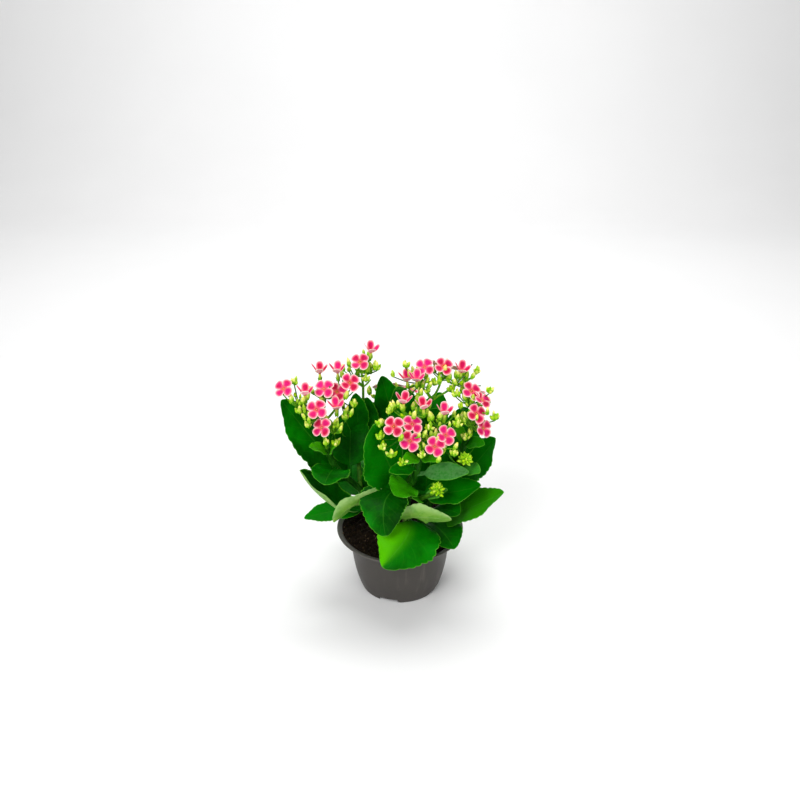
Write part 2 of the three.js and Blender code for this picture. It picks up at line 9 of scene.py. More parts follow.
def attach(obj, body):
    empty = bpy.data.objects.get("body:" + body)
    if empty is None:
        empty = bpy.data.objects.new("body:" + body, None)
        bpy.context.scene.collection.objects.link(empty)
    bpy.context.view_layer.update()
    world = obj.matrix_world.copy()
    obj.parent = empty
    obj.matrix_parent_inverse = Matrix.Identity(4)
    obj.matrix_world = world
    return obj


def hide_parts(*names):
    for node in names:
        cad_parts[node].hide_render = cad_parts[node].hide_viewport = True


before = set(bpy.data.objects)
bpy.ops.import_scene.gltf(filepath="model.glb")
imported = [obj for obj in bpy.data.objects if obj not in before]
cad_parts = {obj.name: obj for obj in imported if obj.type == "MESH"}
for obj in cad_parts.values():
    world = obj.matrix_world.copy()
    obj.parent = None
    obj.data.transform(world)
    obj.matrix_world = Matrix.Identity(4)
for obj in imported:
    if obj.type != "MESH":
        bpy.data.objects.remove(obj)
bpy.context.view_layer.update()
mm = 0.001
fullTurn = 2 * math.pi
upAxis = Vector((0, 0, 1))


# Small helpers


def chance(n):  # a repeatable number from 0 to 1 for each whole number
    s = math.sin(n * 12.9898 + 4.1414) * 43758.5453
    return s - math.floor(s)


def unit(vector):
    vector = np.asarray(vector, float)
    return vector / np.linalg.norm(vector)


def turned(a, r, z):
    return r * math.cos(a), r * math.sin(a), z


def newPiece(name, mesh):
    piece = bpy.data.objects.new(name, mesh)
    bpy.context.scene.collection.objects.link(piece)
    return piece


def newMesh(name, points, edges, faces, floats):
    # points in millimetres; floats are values on the points
    mesh = bpy.data.meshes.new(name)
    mesh.from_pydata((np.asarray(points, float) * mm).tolist(), edges, faces)
    for label, values in floats.items():
        layer = mesh.attributes.new(label, "FLOAT", "POINT")
        layer.data.foreach_set("value", np.asarray(values, np.float32))
    return mesh


def solidPiece(name, points, faces, floats=None, blade=None, smooth=True):
    mesh = newMesh(name, points, [], faces, floats or {})
    if blade is not None:  # a UV map given for each point
        corner = np.zeros(len(mesh.loops), np.int32)
        mesh.loops.foreach_get("vertex_index", corner)
        layer = mesh.uv_layers.new(name="blade")
        layer.uv.foreach_set("vector", np.asarray(blade, np.float32)[corner].ravel())
    if smooth:
        mesh.shade_smooth()
    mesh.update()
    return newPiece(name, mesh)


def prototype(name, points, faces, floats=None, smooth=True):
    shape = solidPiece(name, points, faces, floats, smooth=smooth)
    bpy.context.scene.collection.objects.unlink(shape)
    return shape


def finishPiece(piece, slot, *nodes):
    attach(piece, "root")
    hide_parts(*nodes)


def shortName(node):  # "Left" for "shoot_left"
    return "".join(word.capitalize() for word in node.split("_")[1:])


def flipped(faces):
    return [face[:1] + face[:0:-1] for face in faces]


def sheetFaces(rows, columns):
    # a closed sheet: a grid of points for its upper side, then the same grid for its lower side
    wide, grid, faces = columns + 1, (rows + 1) * (columns + 1), []
    for i in range(rows):
        for a in range(i * wide, i * wide + columns):
            faces.append((a, a + 1, a + wide + 1, a + wide))
            faces.append((grid + a, grid + a + wide, grid + a + wide + 1, grid + a + 1))
    border = [*range(columns)] + [i * wide + columns for i in range(rows)]
    border += [rows * wide + j for j in range(columns, 0, -1)] + [i * wide for i in range(rows, 0, -1)]
    return faces + [(a, grid + a, grid + b, b) for a, b in zip(border, border[1:] + border[:1])]


def shellFaces(rings, n):
    # a closed turned shell: a point on the axis, rings of n points, and another point on the axis
    last, faces = rings * n + 1, []
    for k in range(n):
        m = (k + 1) % n
        faces.append((0, 1 + m, 1 + k))
        for a in range(1, last - n, n):
            faces.append((a + k, a + m, a + n + m, a + n + k))
        faces.append((last, last - n + k, last - n + m))
    return faces


def spindle(profile, sides, twist=0.0, flute=0.0):
    # a turned body from (radius, height) pairs, closed at both ends
    points, faces = [], []
    for row, (r, z) in enumerate(profile):
        for a in [k / sides * fullTurn for k in range(sides)]:
            points.append(turned(a + twist * row, r * (1 + flute * math.cos(4 * a)), z))
    for a in range(0, (len(profile) - 1) * sides, sides):
        for k in range(sides):
            m = (k + 1) % sides
            faces.append((a + k, a + m, a + sides + m, a + sides + k))
    faces += [tuple(reversed(range(sides))), tuple(range(len(points) - sides, len(points)))]
    return np.array(points), faces


def joinParts(parts, labels=()):
    # puts (points, faces, values) together; a value is one number, or one for each point
    points, faces, floats, offset = [], [], {label: [] for label in labels}, 0
    for shape, shapeFaces, values in parts:
        points.append(shape)
        faces += [tuple(offset + i for i in face) for face in shapeFaces]
        for label in labels:
            floats[label].append(np.zeros(len(shape)) + values.get(label, 0.0))
        offset += len(shape)
    return np.concatenate(points), faces, {label: np.concatenate(floats[label]) for label in labels}


def made(tree, output, kind, values, **settings):
    # adds a node and gives one of its outputs; a value is a number, a colour or another node's output
    node = tree.nodes.new(kind)
    for key, value in settings.items():
        setattr(node, key, value)
    for key, value in values.items():
        if isinstance(value, bpy.types.NodeSocket):
            tree.links.new(value, node.inputs[key])
        else:
            node.inputs[key].default_value = value
    return node.outputs[output]


def maths(tree, operation, first, second=0.0, third=0.0):
    return made(tree, 0, "ShaderNodeMath", {0: first, 1: second, 2: third}, operation=operation)


def times(tree, first, second):
    return maths(tree, "MULTIPLY", first, second)


# Geometry node helpers


def newGrowTree(name, sockets):
    tree = bpy.data.node_groups.new(name, "GeometryNodeTree")
    for label, kind in {"Geometry": "Geometry", **sockets}.items():
        tree.interface.new_socket(label, in_out="INPUT", socket_type="NodeSocket" + kind)
    tree.interface.new_socket("Geometry", in_out="OUTPUT", socket_type="NodeSocketGeometry")
    return tree, tree.nodes.new("NodeGroupInput").outputs


def endTree(tree, geometry, *skins):
    # each skin is (material, selection)
    geometry = made(tree, "Geometry", "GeometryNodeRealizeInstances", {"Geometry": geometry})
    for material, selection in skins:
        values = {"Geometry": geometry, "Material": material, "Selection": selection}
        geometry = made(tree, "Geometry", "GeometryNodeSetMaterial", values)
    tree.links.new(geometry, tree.nodes.new("NodeGroupOutput").inputs["Geometry"])
    return tree


def pointValue(tree, name, kind="FLOAT"):
    return made(tree, "Attribute", "GeometryNodeInputNamedAttribute", {"Name": name}, data_type=kind)


def randomValue(tree, output, kind, values):
    return made(tree, output, "FunctionNodeRandomValue", values, data_type=kind)


def placed(tree, points, picked, shape, turns, size):
    turns = made(tree, "Rotation", "FunctionNodeEulerToRotation", {"Euler": turns})
    shape = made(tree, "Geometry", "GeometryNodeObjectInfo", {"Object": shape, "As Instance": True})
    values = {"Points": points, "Selection": picked, "Instance": shape, "Rotation": turns, "Scale": size}
    return made(tree, "Instances", "GeometryNodeInstanceOnPoints", values)


def takenMesh(name, piece, modifier):
    # what the modifier makes of the piece, as a plain mesh
    bpy.context.view_layer.update()
    mesh = bpy.data.meshes.new_from_object(piece.evaluated_get(bpy.context.evaluated_depsgraph_get()))
    mesh.name = name
    piece.modifiers.remove(modifier)
    return mesh


def growPiece(name, base, tree, values):
    # runs the tree on the base's mesh; the new piece takes the base's place
    modifier = base.modifiers.new("grow", "NODES")
    modifier.node_group = tree
    for item in tree.interface.items_tree:
        if item.in_out == "INPUT" and item.name in values:
            modifier[item.identifier] = values[item.name]
    mesh = takenMesh(name, base, modifier)
    bpy.data.objects.remove(base)
    return newPiece(name, mesh)


# Material helpers


def newSkin(name, roughness, specular):
    # a material's tree and shader, and the object coordinates that its textures read
    material = bpy.data.materials.new(name)
    material.use_nodes = True
    tree = material.node_tree
    shader = tree.nodes["Principled BSDF"].inputs
    shader["Roughness"].default_value = roughness
    shader["Specular IOR Level"].default_value = specular
    return material, tree, shader, made(tree, "Object", "ShaderNodeTexCoord", {})


def mixed(tree, factor, first, second):
    first, second = (c if isinstance(c, bpy.types.NodeSocket) else (*c, 1) for c in (first, second))
    return made(tree, 2, "ShaderNodeMix", {0: factor, 6: first, 7: second}, data_type="RGBA")


def ranged(tree, value, low, high, toLow=0.0, toHigh=1.0):
    values = {"Value": value, "From Min": low, "From Max": high, "To Min": toLow, "To Max": toHigh}
    return made(tree, "Result", "ShaderNodeMapRange", values, interpolation_type="SMOOTHSTEP")


def patchy(tree, value, low, high, first, second):
    return mixed(tree, ranged(tree, value, low, high), first, second)


def grain(tree, place, scale, detail=3.0, roughness=0.55):
    values = {"Vector": place, "Scale": scale, "Detail": detail, "Roughness": roughness}
    return made(tree, "Fac", "ShaderNodeTexNoise", values)


def stretched(tree, place, upwards):
    return made(tree, "Vector", "ShaderNodeMapping", {"Vector": place, "Scale": (1, 1, upwards)})


def reading(tree, *names):
    found = [made(tree, "Fac", "ShaderNodeAttribute", {}, attribute_name=name) for name in names]
    return found if len(names) > 1 else found[0]


def soften(shader, weight, radius):
    shader["Subsurface Weight"].default_value = weight
    shader["Subsurface Radius"].default_value = radius


def coat(tree, shader, colour, height, distance, strength):
    # links the colour and the fine relief of a skin
    tree.links.new(colour, shader["Base Color"])
    values = {"Height": height, "Distance": distance, "Strength": strength}
    tree.links.new(made(tree, "Normal", "ShaderNodeBump", values), shader["Normal"])


# Lines


def smoothLine(points, count=60):
    # a centripetal Catmull-Rom line through the points
    points = [np.asarray(p, float) for p in points]
    last = len(points) - 1
    before = [2 * points[0] - points[1], *points, 2 * points[last] - points[last - 1]]
    line = []
    for t in np.linspace(0, last, count):
        k = min(int(t), last - 1)
        w = t - k
        a, b, c, d = before[k : k + 4]
        d0, d1, d2 = (max(np.linalg.norm(q - p), 1e-6) ** 0.5 for p, q in ((a, b), (b, c), (c, d)))
        m1 = d1 * ((b - a) / d0 - (c - a) / (d0 + d1) + (c - b) / d1)
        m2 = d1 * ((c - b) / d1 - (d - b) / (d1 + d2) + (d - c) / d2)
        line.append(b + m1 * w + (3 * (c - b) - 2 * m1 - m2) * w**2 + (2 * (b - c) + m1 + m2) * w**3)
    return np.array(line)


def pointAlong(line, share):
    run = np.concatenate(([0], np.cumsum(np.linalg.norm(np.diff(line, axis=0), axis=1))))
    return np.array([np.interp(share * run[-1], run, line[:, k]) for k in range(3)])


def turnTo(direction, spin=0.0):
    return upAxis.rotation_difference(Vector(direction)) @ Quaternion(upAxis, spin)


def leaning(lean, turn):
    # a direction that leans from upright by lean degrees, towards turn degrees round from the front
    a, b = math.radians(lean), math.radians(turn)
    return np.array([math.sin(a) * math.sin(b), -math.sin(a) * math.cos(b), math.cos(a)])


# Stems and stalks: tubes along lines, by Geometry Nodes


def stemTree():
    tree, given = newGrowTree("growStems", {"Sides": "Int", "Material": "Material"})
    curve = made(tree, "Curve", "GeometryNodeMeshToCurve", {"Mesh": given["Geometry"]})
    circle = {"Resolution": given["Sides"], "Radius": 1.0}
    profile = made(tree, "Curve", "GeometryNodeCurvePrimitiveCircle", circle)
    girth = pointValue(tree, "girth")
    values = {"Curve": curve, "Profile Curve": profile, "Scale": girth, "Fill Caps": True}
    tube = made(tree, "Mesh", "GeometryNodeCurveToMesh", values)
    soft = made(tree, "Geometry", "GeometryNodeSetShadeSmooth", {"Geometry": tube})
    return endTree(tree, soft, (given["Material"], True))


def growStems(name, lines, material, sides):
    # each line is (points, girths in millimetres, age from 0 young to 1 old)
    points, edges, floats = [], [], {"girth": [], "age": []}
    for line, girths, age in lines:
        edges += [(len(points) + k, len(points) + k + 1) for k in range(len(line) - 1)]
        points += list(line)
        floats["girth"] += (np.asarray(girths) * mm).tolist()
        floats["age"] += [age] * len(line)
    base = newPiece(name + "Lines", newMesh(name, points, edges, [], floats))
    return growPiece(name, base, stemGrower, {"Sides": sides, "Material": material})


stemGrower = stemTree()


# Flowers and buds: prototypes set on points, by Geometry Nodes


def setTree(kinds):
    # one prototype for each kind, and a second material where zone is over one half
    sockets = {f"Prototype {k}": "Object" for k in range(kinds)}
    tree, given = newGrowTree("setPieces", {**sockets, "Skin": "Material", "Second Skin": "Material"})
    gathered = tree.nodes.new("GeometryNodeJoinGeometry")
    kind, turns = pointValue(tree, "kind", "INT"), pointValue(tree, "turned", "FLOAT_VECTOR")
    size = pointValue(tree, "size")
    for k in range(kinds):
        settings = {"data_type": "INT", "operation": "EQUAL"}
        chosen = made(tree, "Result", "FunctionNodeCompare", {2: kind, 3: k}, **settings)
        shapes = placed(tree, given["Geometry"], chosen, given[f"Prototype {k}"], turns, size)
        tree.links.new(shapes, gathered.inputs["Geometry"])
    settings = {"data_type": "FLOAT", "operation": "GREATER_THAN"}
    zone = made(tree, "Result", "FunctionNodeCompare", {0: pointValue(tree, "zone"), 1: 0.5}, **settings)
    return endTree(tree, gathered.outputs[0], (given["Skin"], True), (given["Second Skin"], zone))


def setPieces(name, places, prototypes, skins):
    # each place is (point in millimetres, rotation, size, kind, tone)
    points, turns, sizes, kinds, tones = zip(*places)
    mesh = newMesh(name, points, [], [], {"size": sizes, "tone": tones})
    layer = mesh.attributes.new("turned", "FLOAT_VECTOR", "POINT")
    layer.data.foreach_set("vector", np.array([tuple(turn.to_euler()) for turn in turns], np.float32).ravel())
    mesh.attributes.new("kind", "INT", "POINT").data.foreach_set("value", np.array(kinds, np.int32))
    values = {f"Prototype {k}": shape for k, shape in enumerate(prototypes)}
    values.update({"Skin": skins[0], "Second Skin": skins[1]})
    return growPiece(name, newPiece(name + "Points", mesh), setGrower, values)


setGrower = setTree(3)


# Pot

potLook = {
    "height": 60.0,
    "lipRadius": 57.5,
    "wallTopRadius": 45.6,
    "flareStart": 49.0,
    "footRadius": 36.0,
    "wallBulge": 2.0,
    "wallThickness": 1.5,
    "footHeight": 6.0,
    "padRadius": 20.0,
    "grooveOuterRadius": 31.0,
    "grooveDepth": 4.5,
    "notches": 4,
    "notchWidth": 18.0,
    "notchLength": 12.0,
    "notchHeight": 4.5,
    "notchTurn": -17.0,
    "drainHoles": 6,
    "drainRadius": 2.6,
    "segments": 144,
    "cornerRadius": 0.35,
    "sharpAngle": 38.0,
    "colour": (0.054, 0.049, 0.044),
    # the lighter colour is a painted reflection of the pale floor on the flared lip
    "lipSheenColour": (0.112, 0.103, 0.092),
    "dust": (0.19, 0.17, 0.145),
}


def wallRadius(z):
    p = potLook
    t = min(max((z - 3) / (p["flareStart"] - 3), 0), 1)
    foot = p["footRadius"] + 1.2
    return foot + (p["wallTopRadius"] - foot) * t + p["wallBulge"] * 4 * t * (1 - t) ** 1.5


def rounded(corners):
    # a profile whose corners are cut to small round ones
    corners = [np.asarray(c, float) for c in corners]
    profile = [corners[0]]
    for before, corner, after in zip(corners, corners[1:], corners[2:]):
        sides = [before - corner, after - corner]
        reach = min(potLook["cornerRadius"], *(0.4 * np.linalg.norm(side) for side in sides))
        start, end = (corner + reach * unit(side) for side in sides)
        for t in np.linspace(0, 1, 3):
            profile.append((1 - t) ** 2 * start + 2 * t * (1 - t) * corner + t**2 * end)
    return [*profile, corners[-1]]


def potProfile():
    p = potLook
    wall, foot, pad, top = p["wallThickness"], p["footHeight"], p["padRadius"], p["wallTopRadius"]
    groove, depth, lip, rim = p["grooveOuterRadius"], p["grooveDepth"], p["lipRadius"], p["height"]
    corners = [(0, 0), (pad, 0), (pad + 2.5, depth), (groove - 1, depth), (groove, 0)]
    corners += [(p["footRadius"] - 1, 0), (p["footRadius"], 0.5)]
    corners += [(wallRadius(z), z) for z in (3, 6, 9, 12, 16, 20, 25, 30, 35, 40, 45, 49)]
    flare = ((0.7, 50.6), (1.9, 52.3), (3.4, 54), (5.3, 55.6), (7.6, 57))
    inside = ((7, 58.5), (4.1, 56.6), (1.9, 54.5), (0.5, 52.6), (-0.8, 50.7))
    corners += [(top + r, z) for r, z in flare]
    corners += [(lip - 1.6, 58.2), (lip - 0.3, 58.8), (lip, rim - 0.6), (lip - 0.4, rim)]
    corners.append((lip - 2, rim - 0.2))
    corners += [(top + r, z) for r, z in inside]
    corners += [(wallRadius(z) - wall, z) for z in (49, 40, 30, 20, 12)]
    return rounded([*corners, (wallRadius(foot) - wall, foot), (pad + 2, foot), (pad - 1, wall), (0, wall)])


def makePot():
    # a turned shell, with the notches in its foot ring and the drain holes cut out
    p, profile = potLook, potProfile()
    turns = np.linspace(0, fullTurn, p["segments"], endpoint=False)
    points = [(0, 0, profile[0][1])] + [turned(a, r, z) for r, z in profile[1:-1] for a in turns]
    points.append((0, 0, profile[-1][1]))
    pot = solidPiece("potShell", points, shellFaces(len(profile) - 2, p["segments"]))
    box = np.array([(x, y, z) for x in (-1, 1) for y in (-1, 1) for z in (-1, 1)], float)
    boxFaces = [(0, 1, 3, 2), (4, 6, 7, 5), (0, 4, 5, 1), (2, 3, 7, 6), (0, 2, 6, 4), (1, 5, 7, 3)]
    box = box * (p["notchWidth"] / 2, p["notchLength"] / 2, p["notchHeight"])
    box = box - (0, p["grooveOuterRadius"] + 4, 0)
    parts = []
    for k in range(p["notches"]):
        turn = Matrix.Rotation(math.radians(p["notchTurn"] + 360 * k / p["notches"]), 3, "Z")
        parts.append((np.array([turn @ Vector(corner) for corner in box]), boxFaces, {}))
    drill, drillFaces = spindle([(p["drainRadius"], -0.5), (p["drainRadius"], 12)], 24)
    for k in range(p["drainHoles"]):
        a = (k + 0.5) / p["drainHoles"] * fullTurn
        r = (p["padRadius"] + p["grooveOuterRadius"]) / 2 + 0.5
        parts.append((drill + turned(a, r, 0), drillFaces, {}))
    cutter = solidPiece("potCutter", *joinParts(parts)[:2], smooth=False)
    cut = pot.modifiers.new("cut", "BOOLEAN")
    cut.operation = "DIFFERENCE"
    cut.solver = "EXACT"
    cut.object = cutter
    pot.data = takenMesh("potShell", pot, cut)
    bpy.data.objects.remove(cutter)
    pot.data.shade_smooth()
    pot.data.set_sharp_from_angle(angle=math.radians(p["sharpAngle"]))
    return pot


def potSkin():
    p = potLook
    material, tree, shader, place = newSkin("nurseryPlastic", 0.5, 0.22)
    height = made(tree, "Z", "ShaderNodeSeparateXYZ", {"Vector": place})
    clouds, specks = grain(tree, place, 28, 4), grain(tree, place, 900, 2)
    lip = ranged(tree, height, 0.0470, 0.0520)
    base = patchy(tree, clouds, 0.35, 0.7, p["colour"], [1.16 * c for c in p["colour"]])
    # painted reflection: the lip band is lightened as if its flare mirrored the pale floor
    lipPaintedSheen = mixed(tree, times(tree, lip, 0.75), base, p["lipSheenColour"])
    streaks = ranged(tree, grain(tree, stretched(tree, place, 0.08), 160, 3), 0.55, 0.78)
    dusted = mixed(tree, times(tree, streaks, ranged(tree, clouds, 0.4, 0.65, 0.0, 0.22)), lipPaintedSheen, p["dust"])
    soiled = times(tree, ranged(tree, specks, 0.70, 0.74, 0.0, 0.5), ranged(tree, height, 0.040, 0.056))
    tree.links.new(ranged(tree, clouds, 0.3, 0.7, 0.40, 0.56), shader["Roughness"])
    turns = maths(tree, "SINE", times(tree, height, 9000.0))
    fine = maths(tree, "MULTIPLY_ADD", turns, 0.12, grain(tree, place, 1400, 2))
    coat(tree, shader, mixed(tree, soiled, dusted, (0.03, 0.02, 0.014)), fine, 0.00006, 0.6)
    return material


pot = makePot()
pot.data.materials.append(potSkin())
finishPiece(pot, "pot", "pot")
print("pot ready")


# Soil

soilLook = {
    "height": 57.8,
    "bump": 1.1,
    "gap": 0.3,
    "dip": 1.2,
    "edge": 52.6,
    "rings": 76,
    "segments": 230,
    "crumbs": 620,
    "crumbSize": (0.35, 1.15),
    "crumbReach": 0.0515,
    "dark": (0.0022, 0.0012, 0.0006),
    "mid": (0.018, 0.0105, 0.005),
    "light": (0.14, 0.095, 0.055),
}
stemFeet = [(-14, 2), (5, -12), (18, 2), (0, 17)]


def soilHeightAt(x, y):
    humps = math.sin(0.31 * x + 1) * math.cos(0.27 * y) + 0.6 * math.sin(0.83 * x - 0.62 * y)
    lumps = 0.75 * noise(Vector((x * 0.34, y * 0.34, 1.7))) + 0.5 * noise(Vector((x * 0.8, y * 0.8, 5.1)))
    return soilLook["height"] + 0.8 * soilLook["bump"] * humps + lumps


def makeSoil():
    s, p = soilLook, potLook
    clear, floor = p["wallThickness"] + s["gap"], p["footHeight"] + s["gap"]
    turns = np.linspace(0, fullTurn, s["segments"], endpoint=False)
    points = [(0.0, 0.0, soilHeightAt(0, 0))]
    for r in s["edge"] * np.sqrt(np.linspace(0, 1, s["rings"] + 1)[1:]):  # rings of equal area
        rise = min(max((r - 46) / 6.6, 0), 1)  # the soil climbs the flare of the lip
        for x, y, z in (turned(a, r, 0) for a in turns):
            z += soilHeightAt(x, y)
            for fx, fy in stemFeet:  # and it dips a little round each stem
                z -= s["dip"] * math.exp(-(((math.hypot(x - fx, y - fy) - 3) / 2.2) ** 2))
            points.append((x, y, z * (1 - rise) + (p["height"] - 1.1) * rise))
    below = [(49.2, 56.6), (45.7, 53.2), (p["wallTopRadius"] - 1.9, p["flareStart"] + 0.2)]
    below += [(wallRadius(z) - clear - 0.2, z) for z in (40, 26, 14)]
    below += [(wallRadius(6) - clear - 0.4, floor), (p["padRadius"] + 1.7, floor)]
    below.append((p["padRadius"] - 1.3, clear))
    points += [turned(a, r, z) for r, z in below for a in turns] + [(0.0, 0.0, clear)]
    return solidPiece("soilBed", points, flipped(shellFaces(s["rings"] + len(below), s["segments"])))


def soilSkin():
    s = soilLook
    material, tree, shader, place = newSkin("pottingMix", 0.94, 0.07)
    lumps, patches = grain(tree, place, 420, 5, 0.7), grain(tree, place, 90, 3)
    cells = made(tree, "Distance", "ShaderNodeTexVoronoi", {"Vector": place, "Scale": 620.0})
    base = patchy(tree, lumps, 0.38, 0.66, s["dark"], s["mid"])
    fibres = times(tree, ranged(tree, cells, 0.0, 0.22, 1.0, 0.0), ranged(tree, patches, 0.50, 0.66))
    tinted = mixed(tree, times(tree, fibres, 0.7), base, s["light"])
    shown = mixed(tree, ranged(tree, reading(tree, "tone"), 0.55, 1.0, 0.0, 0.55), tinted, s["light"])
    coat(tree, shader, shown, maths(tree, "MULTIPLY_ADD", cells, 0.5, lumps), 0.0007, 0.9)
    return material


def crumbPrototype(name, seed, stretch):
    # a rough crumb of twenty faces
    gold = (1 + math.sqrt(5)) / 2
    corners = [(-1, gold, 0), (1, gold, 0), (-1, -gold, 0), (1, -gold, 0), (0, -1, gold), (0, 1, gold)]
    corners += [(0, -1, -gold), (0, 1, -gold), (gold, 0, -1), (gold, 0, 1), (-gold, 0, -1), (-gold, 0, 1)]
    faces = [(0, 11, 5), (0, 5, 1), (0, 1, 7), (0, 7, 10), (0, 10, 11), (1, 5, 9), (5, 11, 4), (11, 10, 2)]
    faces += [(10, 7, 6), (7, 1, 8), (3, 9, 4), (3, 4, 2), (3, 2, 6), (3, 6, 8), (3, 8, 9), (4, 9, 5)]
    faces += [(2, 4, 11), (6, 2, 10), (8, 6, 7), (9, 8, 1)]
    reach = [0.72 + 0.5 * chance(seed + 3 * k) for k in range(len(corners))]
    points = [unit(corner) * r * np.array(stretch) for corner, r in zip(corners, reach)]
    return prototype(name, points, faces, smooth=False)


def crumbTree():
    sockets = {"Crumbs": "Float", "Smallest": "Float", "Largest": "Float", "Seed": "Int"}
    sockets.update({"Lump": "Object", "Flake": "Object", "Material": "Material"})
    tree, given = newGrowTree("strewCrumbs", sockets)
    strewn = {"Mesh": given["Geometry"], "Density": given["Crumbs"], "Seed": given["Seed"]}
    strewn["Selection"] = pointValue(tree, "open", "BOOLEAN")
    points = made(tree, "Points", "GeometryNodeDistributePointsOnFaces", strewn)
    gathered = tree.nodes.new("GeometryNodeJoinGeometry")
    flake = randomValue(tree, 3, "BOOLEAN", {"Probability": 0.35, "Seed": 11})
    lump = made(tree, 0, "FunctionNodeBooleanMath", {0: flake}, operation="NOT")
    turns = randomValue(tree, 0, "FLOAT_VECTOR", {0: (0.0, 0.0, 0.0), 1: (6.28, 6.28, 6.28), "Seed": 21})
    size = randomValue(tree, 1, "FLOAT", {2: given["Smallest"], 3: given["Largest"], "Seed": 31})
    for picked, label in ((lump, "Lump"), (flake, "Flake")):
        crumbs = placed(tree, points, picked, given[label], turns, size)
        tree.links.new(crumbs, gathered.inputs["Geometry"])
    tone = randomValue(tree, 1, "FLOAT", {2: 0.0, 3: 1.0, "Seed": 41})
    values = {"Geometry": gathered.outputs["Geometry"], "Name": "tone", "Value": tone}
    settings = {"data_type": "FLOAT", "domain": "INSTANCE"}
    marked = made(tree, "Geometry", "GeometryNodeStoreNamedAttribute", values, **settings)
    return endTree(tree, marked, (given["Material"], True))


def strewCrumbs(soil, material):
    s = soilLook
    base = newPiece("crumbBed", soil.data.copy())
    open_ = [math.hypot(v.co.x, v.co.y) < s["crumbReach"] and v.co.z > 0.054 for v in base.data.vertices]
    base.data.attributes.new("open", "BOOLEAN", "POINT").data.foreach_set("value", open_)
    shapes = crumbPrototype("lump", 5, (1, 1, 0.8)), crumbPrototype("flake", 90, (1.9, 0.6, 0.35))
    density = s["crumbs"] / (math.pi * s["crumbReach"] ** 2)
    values = {"Crumbs": density, "Smallest": s["crumbSize"][0], "Largest": s["crumbSize"][1]}
    values.update({"Seed": 4, "Lump": shapes[0], "Flake": shapes[1], "Material": material})
    crumbs = growPiece("soilCrumbs", base, crumbTree(), values)
    for shape in shapes:
        bpy.data.objects.remove(shape)
    return crumbs


soilMaterial = soilSkin()
soil = makeSoil()
soil.data.materials.append(soilMaterial)
crumbs = strewCrumbs(soil, soilMaterial)
for piece in (soil, crumbs):
    finishPiece(piece, "soil", "soil")
print("soil ready,", len(crumbs.data.polygons), "crumb faces")


# Leafy stems

stemBottom = 49.1


def leaf(at, tip, width, face, arch, **more):
    # rooted at a share of its stem; tip and face are its place and the way its upper side looks.
    # tone makes it lighter or darker with painted light and shade: given tones make sunlit leaves
    # lighter and yellower and shaded ones darker, and a tone that changes across the blade paints light
    # on one half and shade on the other. pale lightens its underside, partly its own paler colour and
    # partly painted light on the flaps; a paleness that changes across it paints a highlight on one side.
    # A greyish value paints a greyish sheen on a few small leaves.
    return {"at": at, "tip": tip, "width": width, "face": face, "arch": arch, **more}


def stem(path, leaves, start=None):
    # a side stem leaves the main one at a share of the main one's length
    return {"path": path, "leaves": leaves, "start": start}


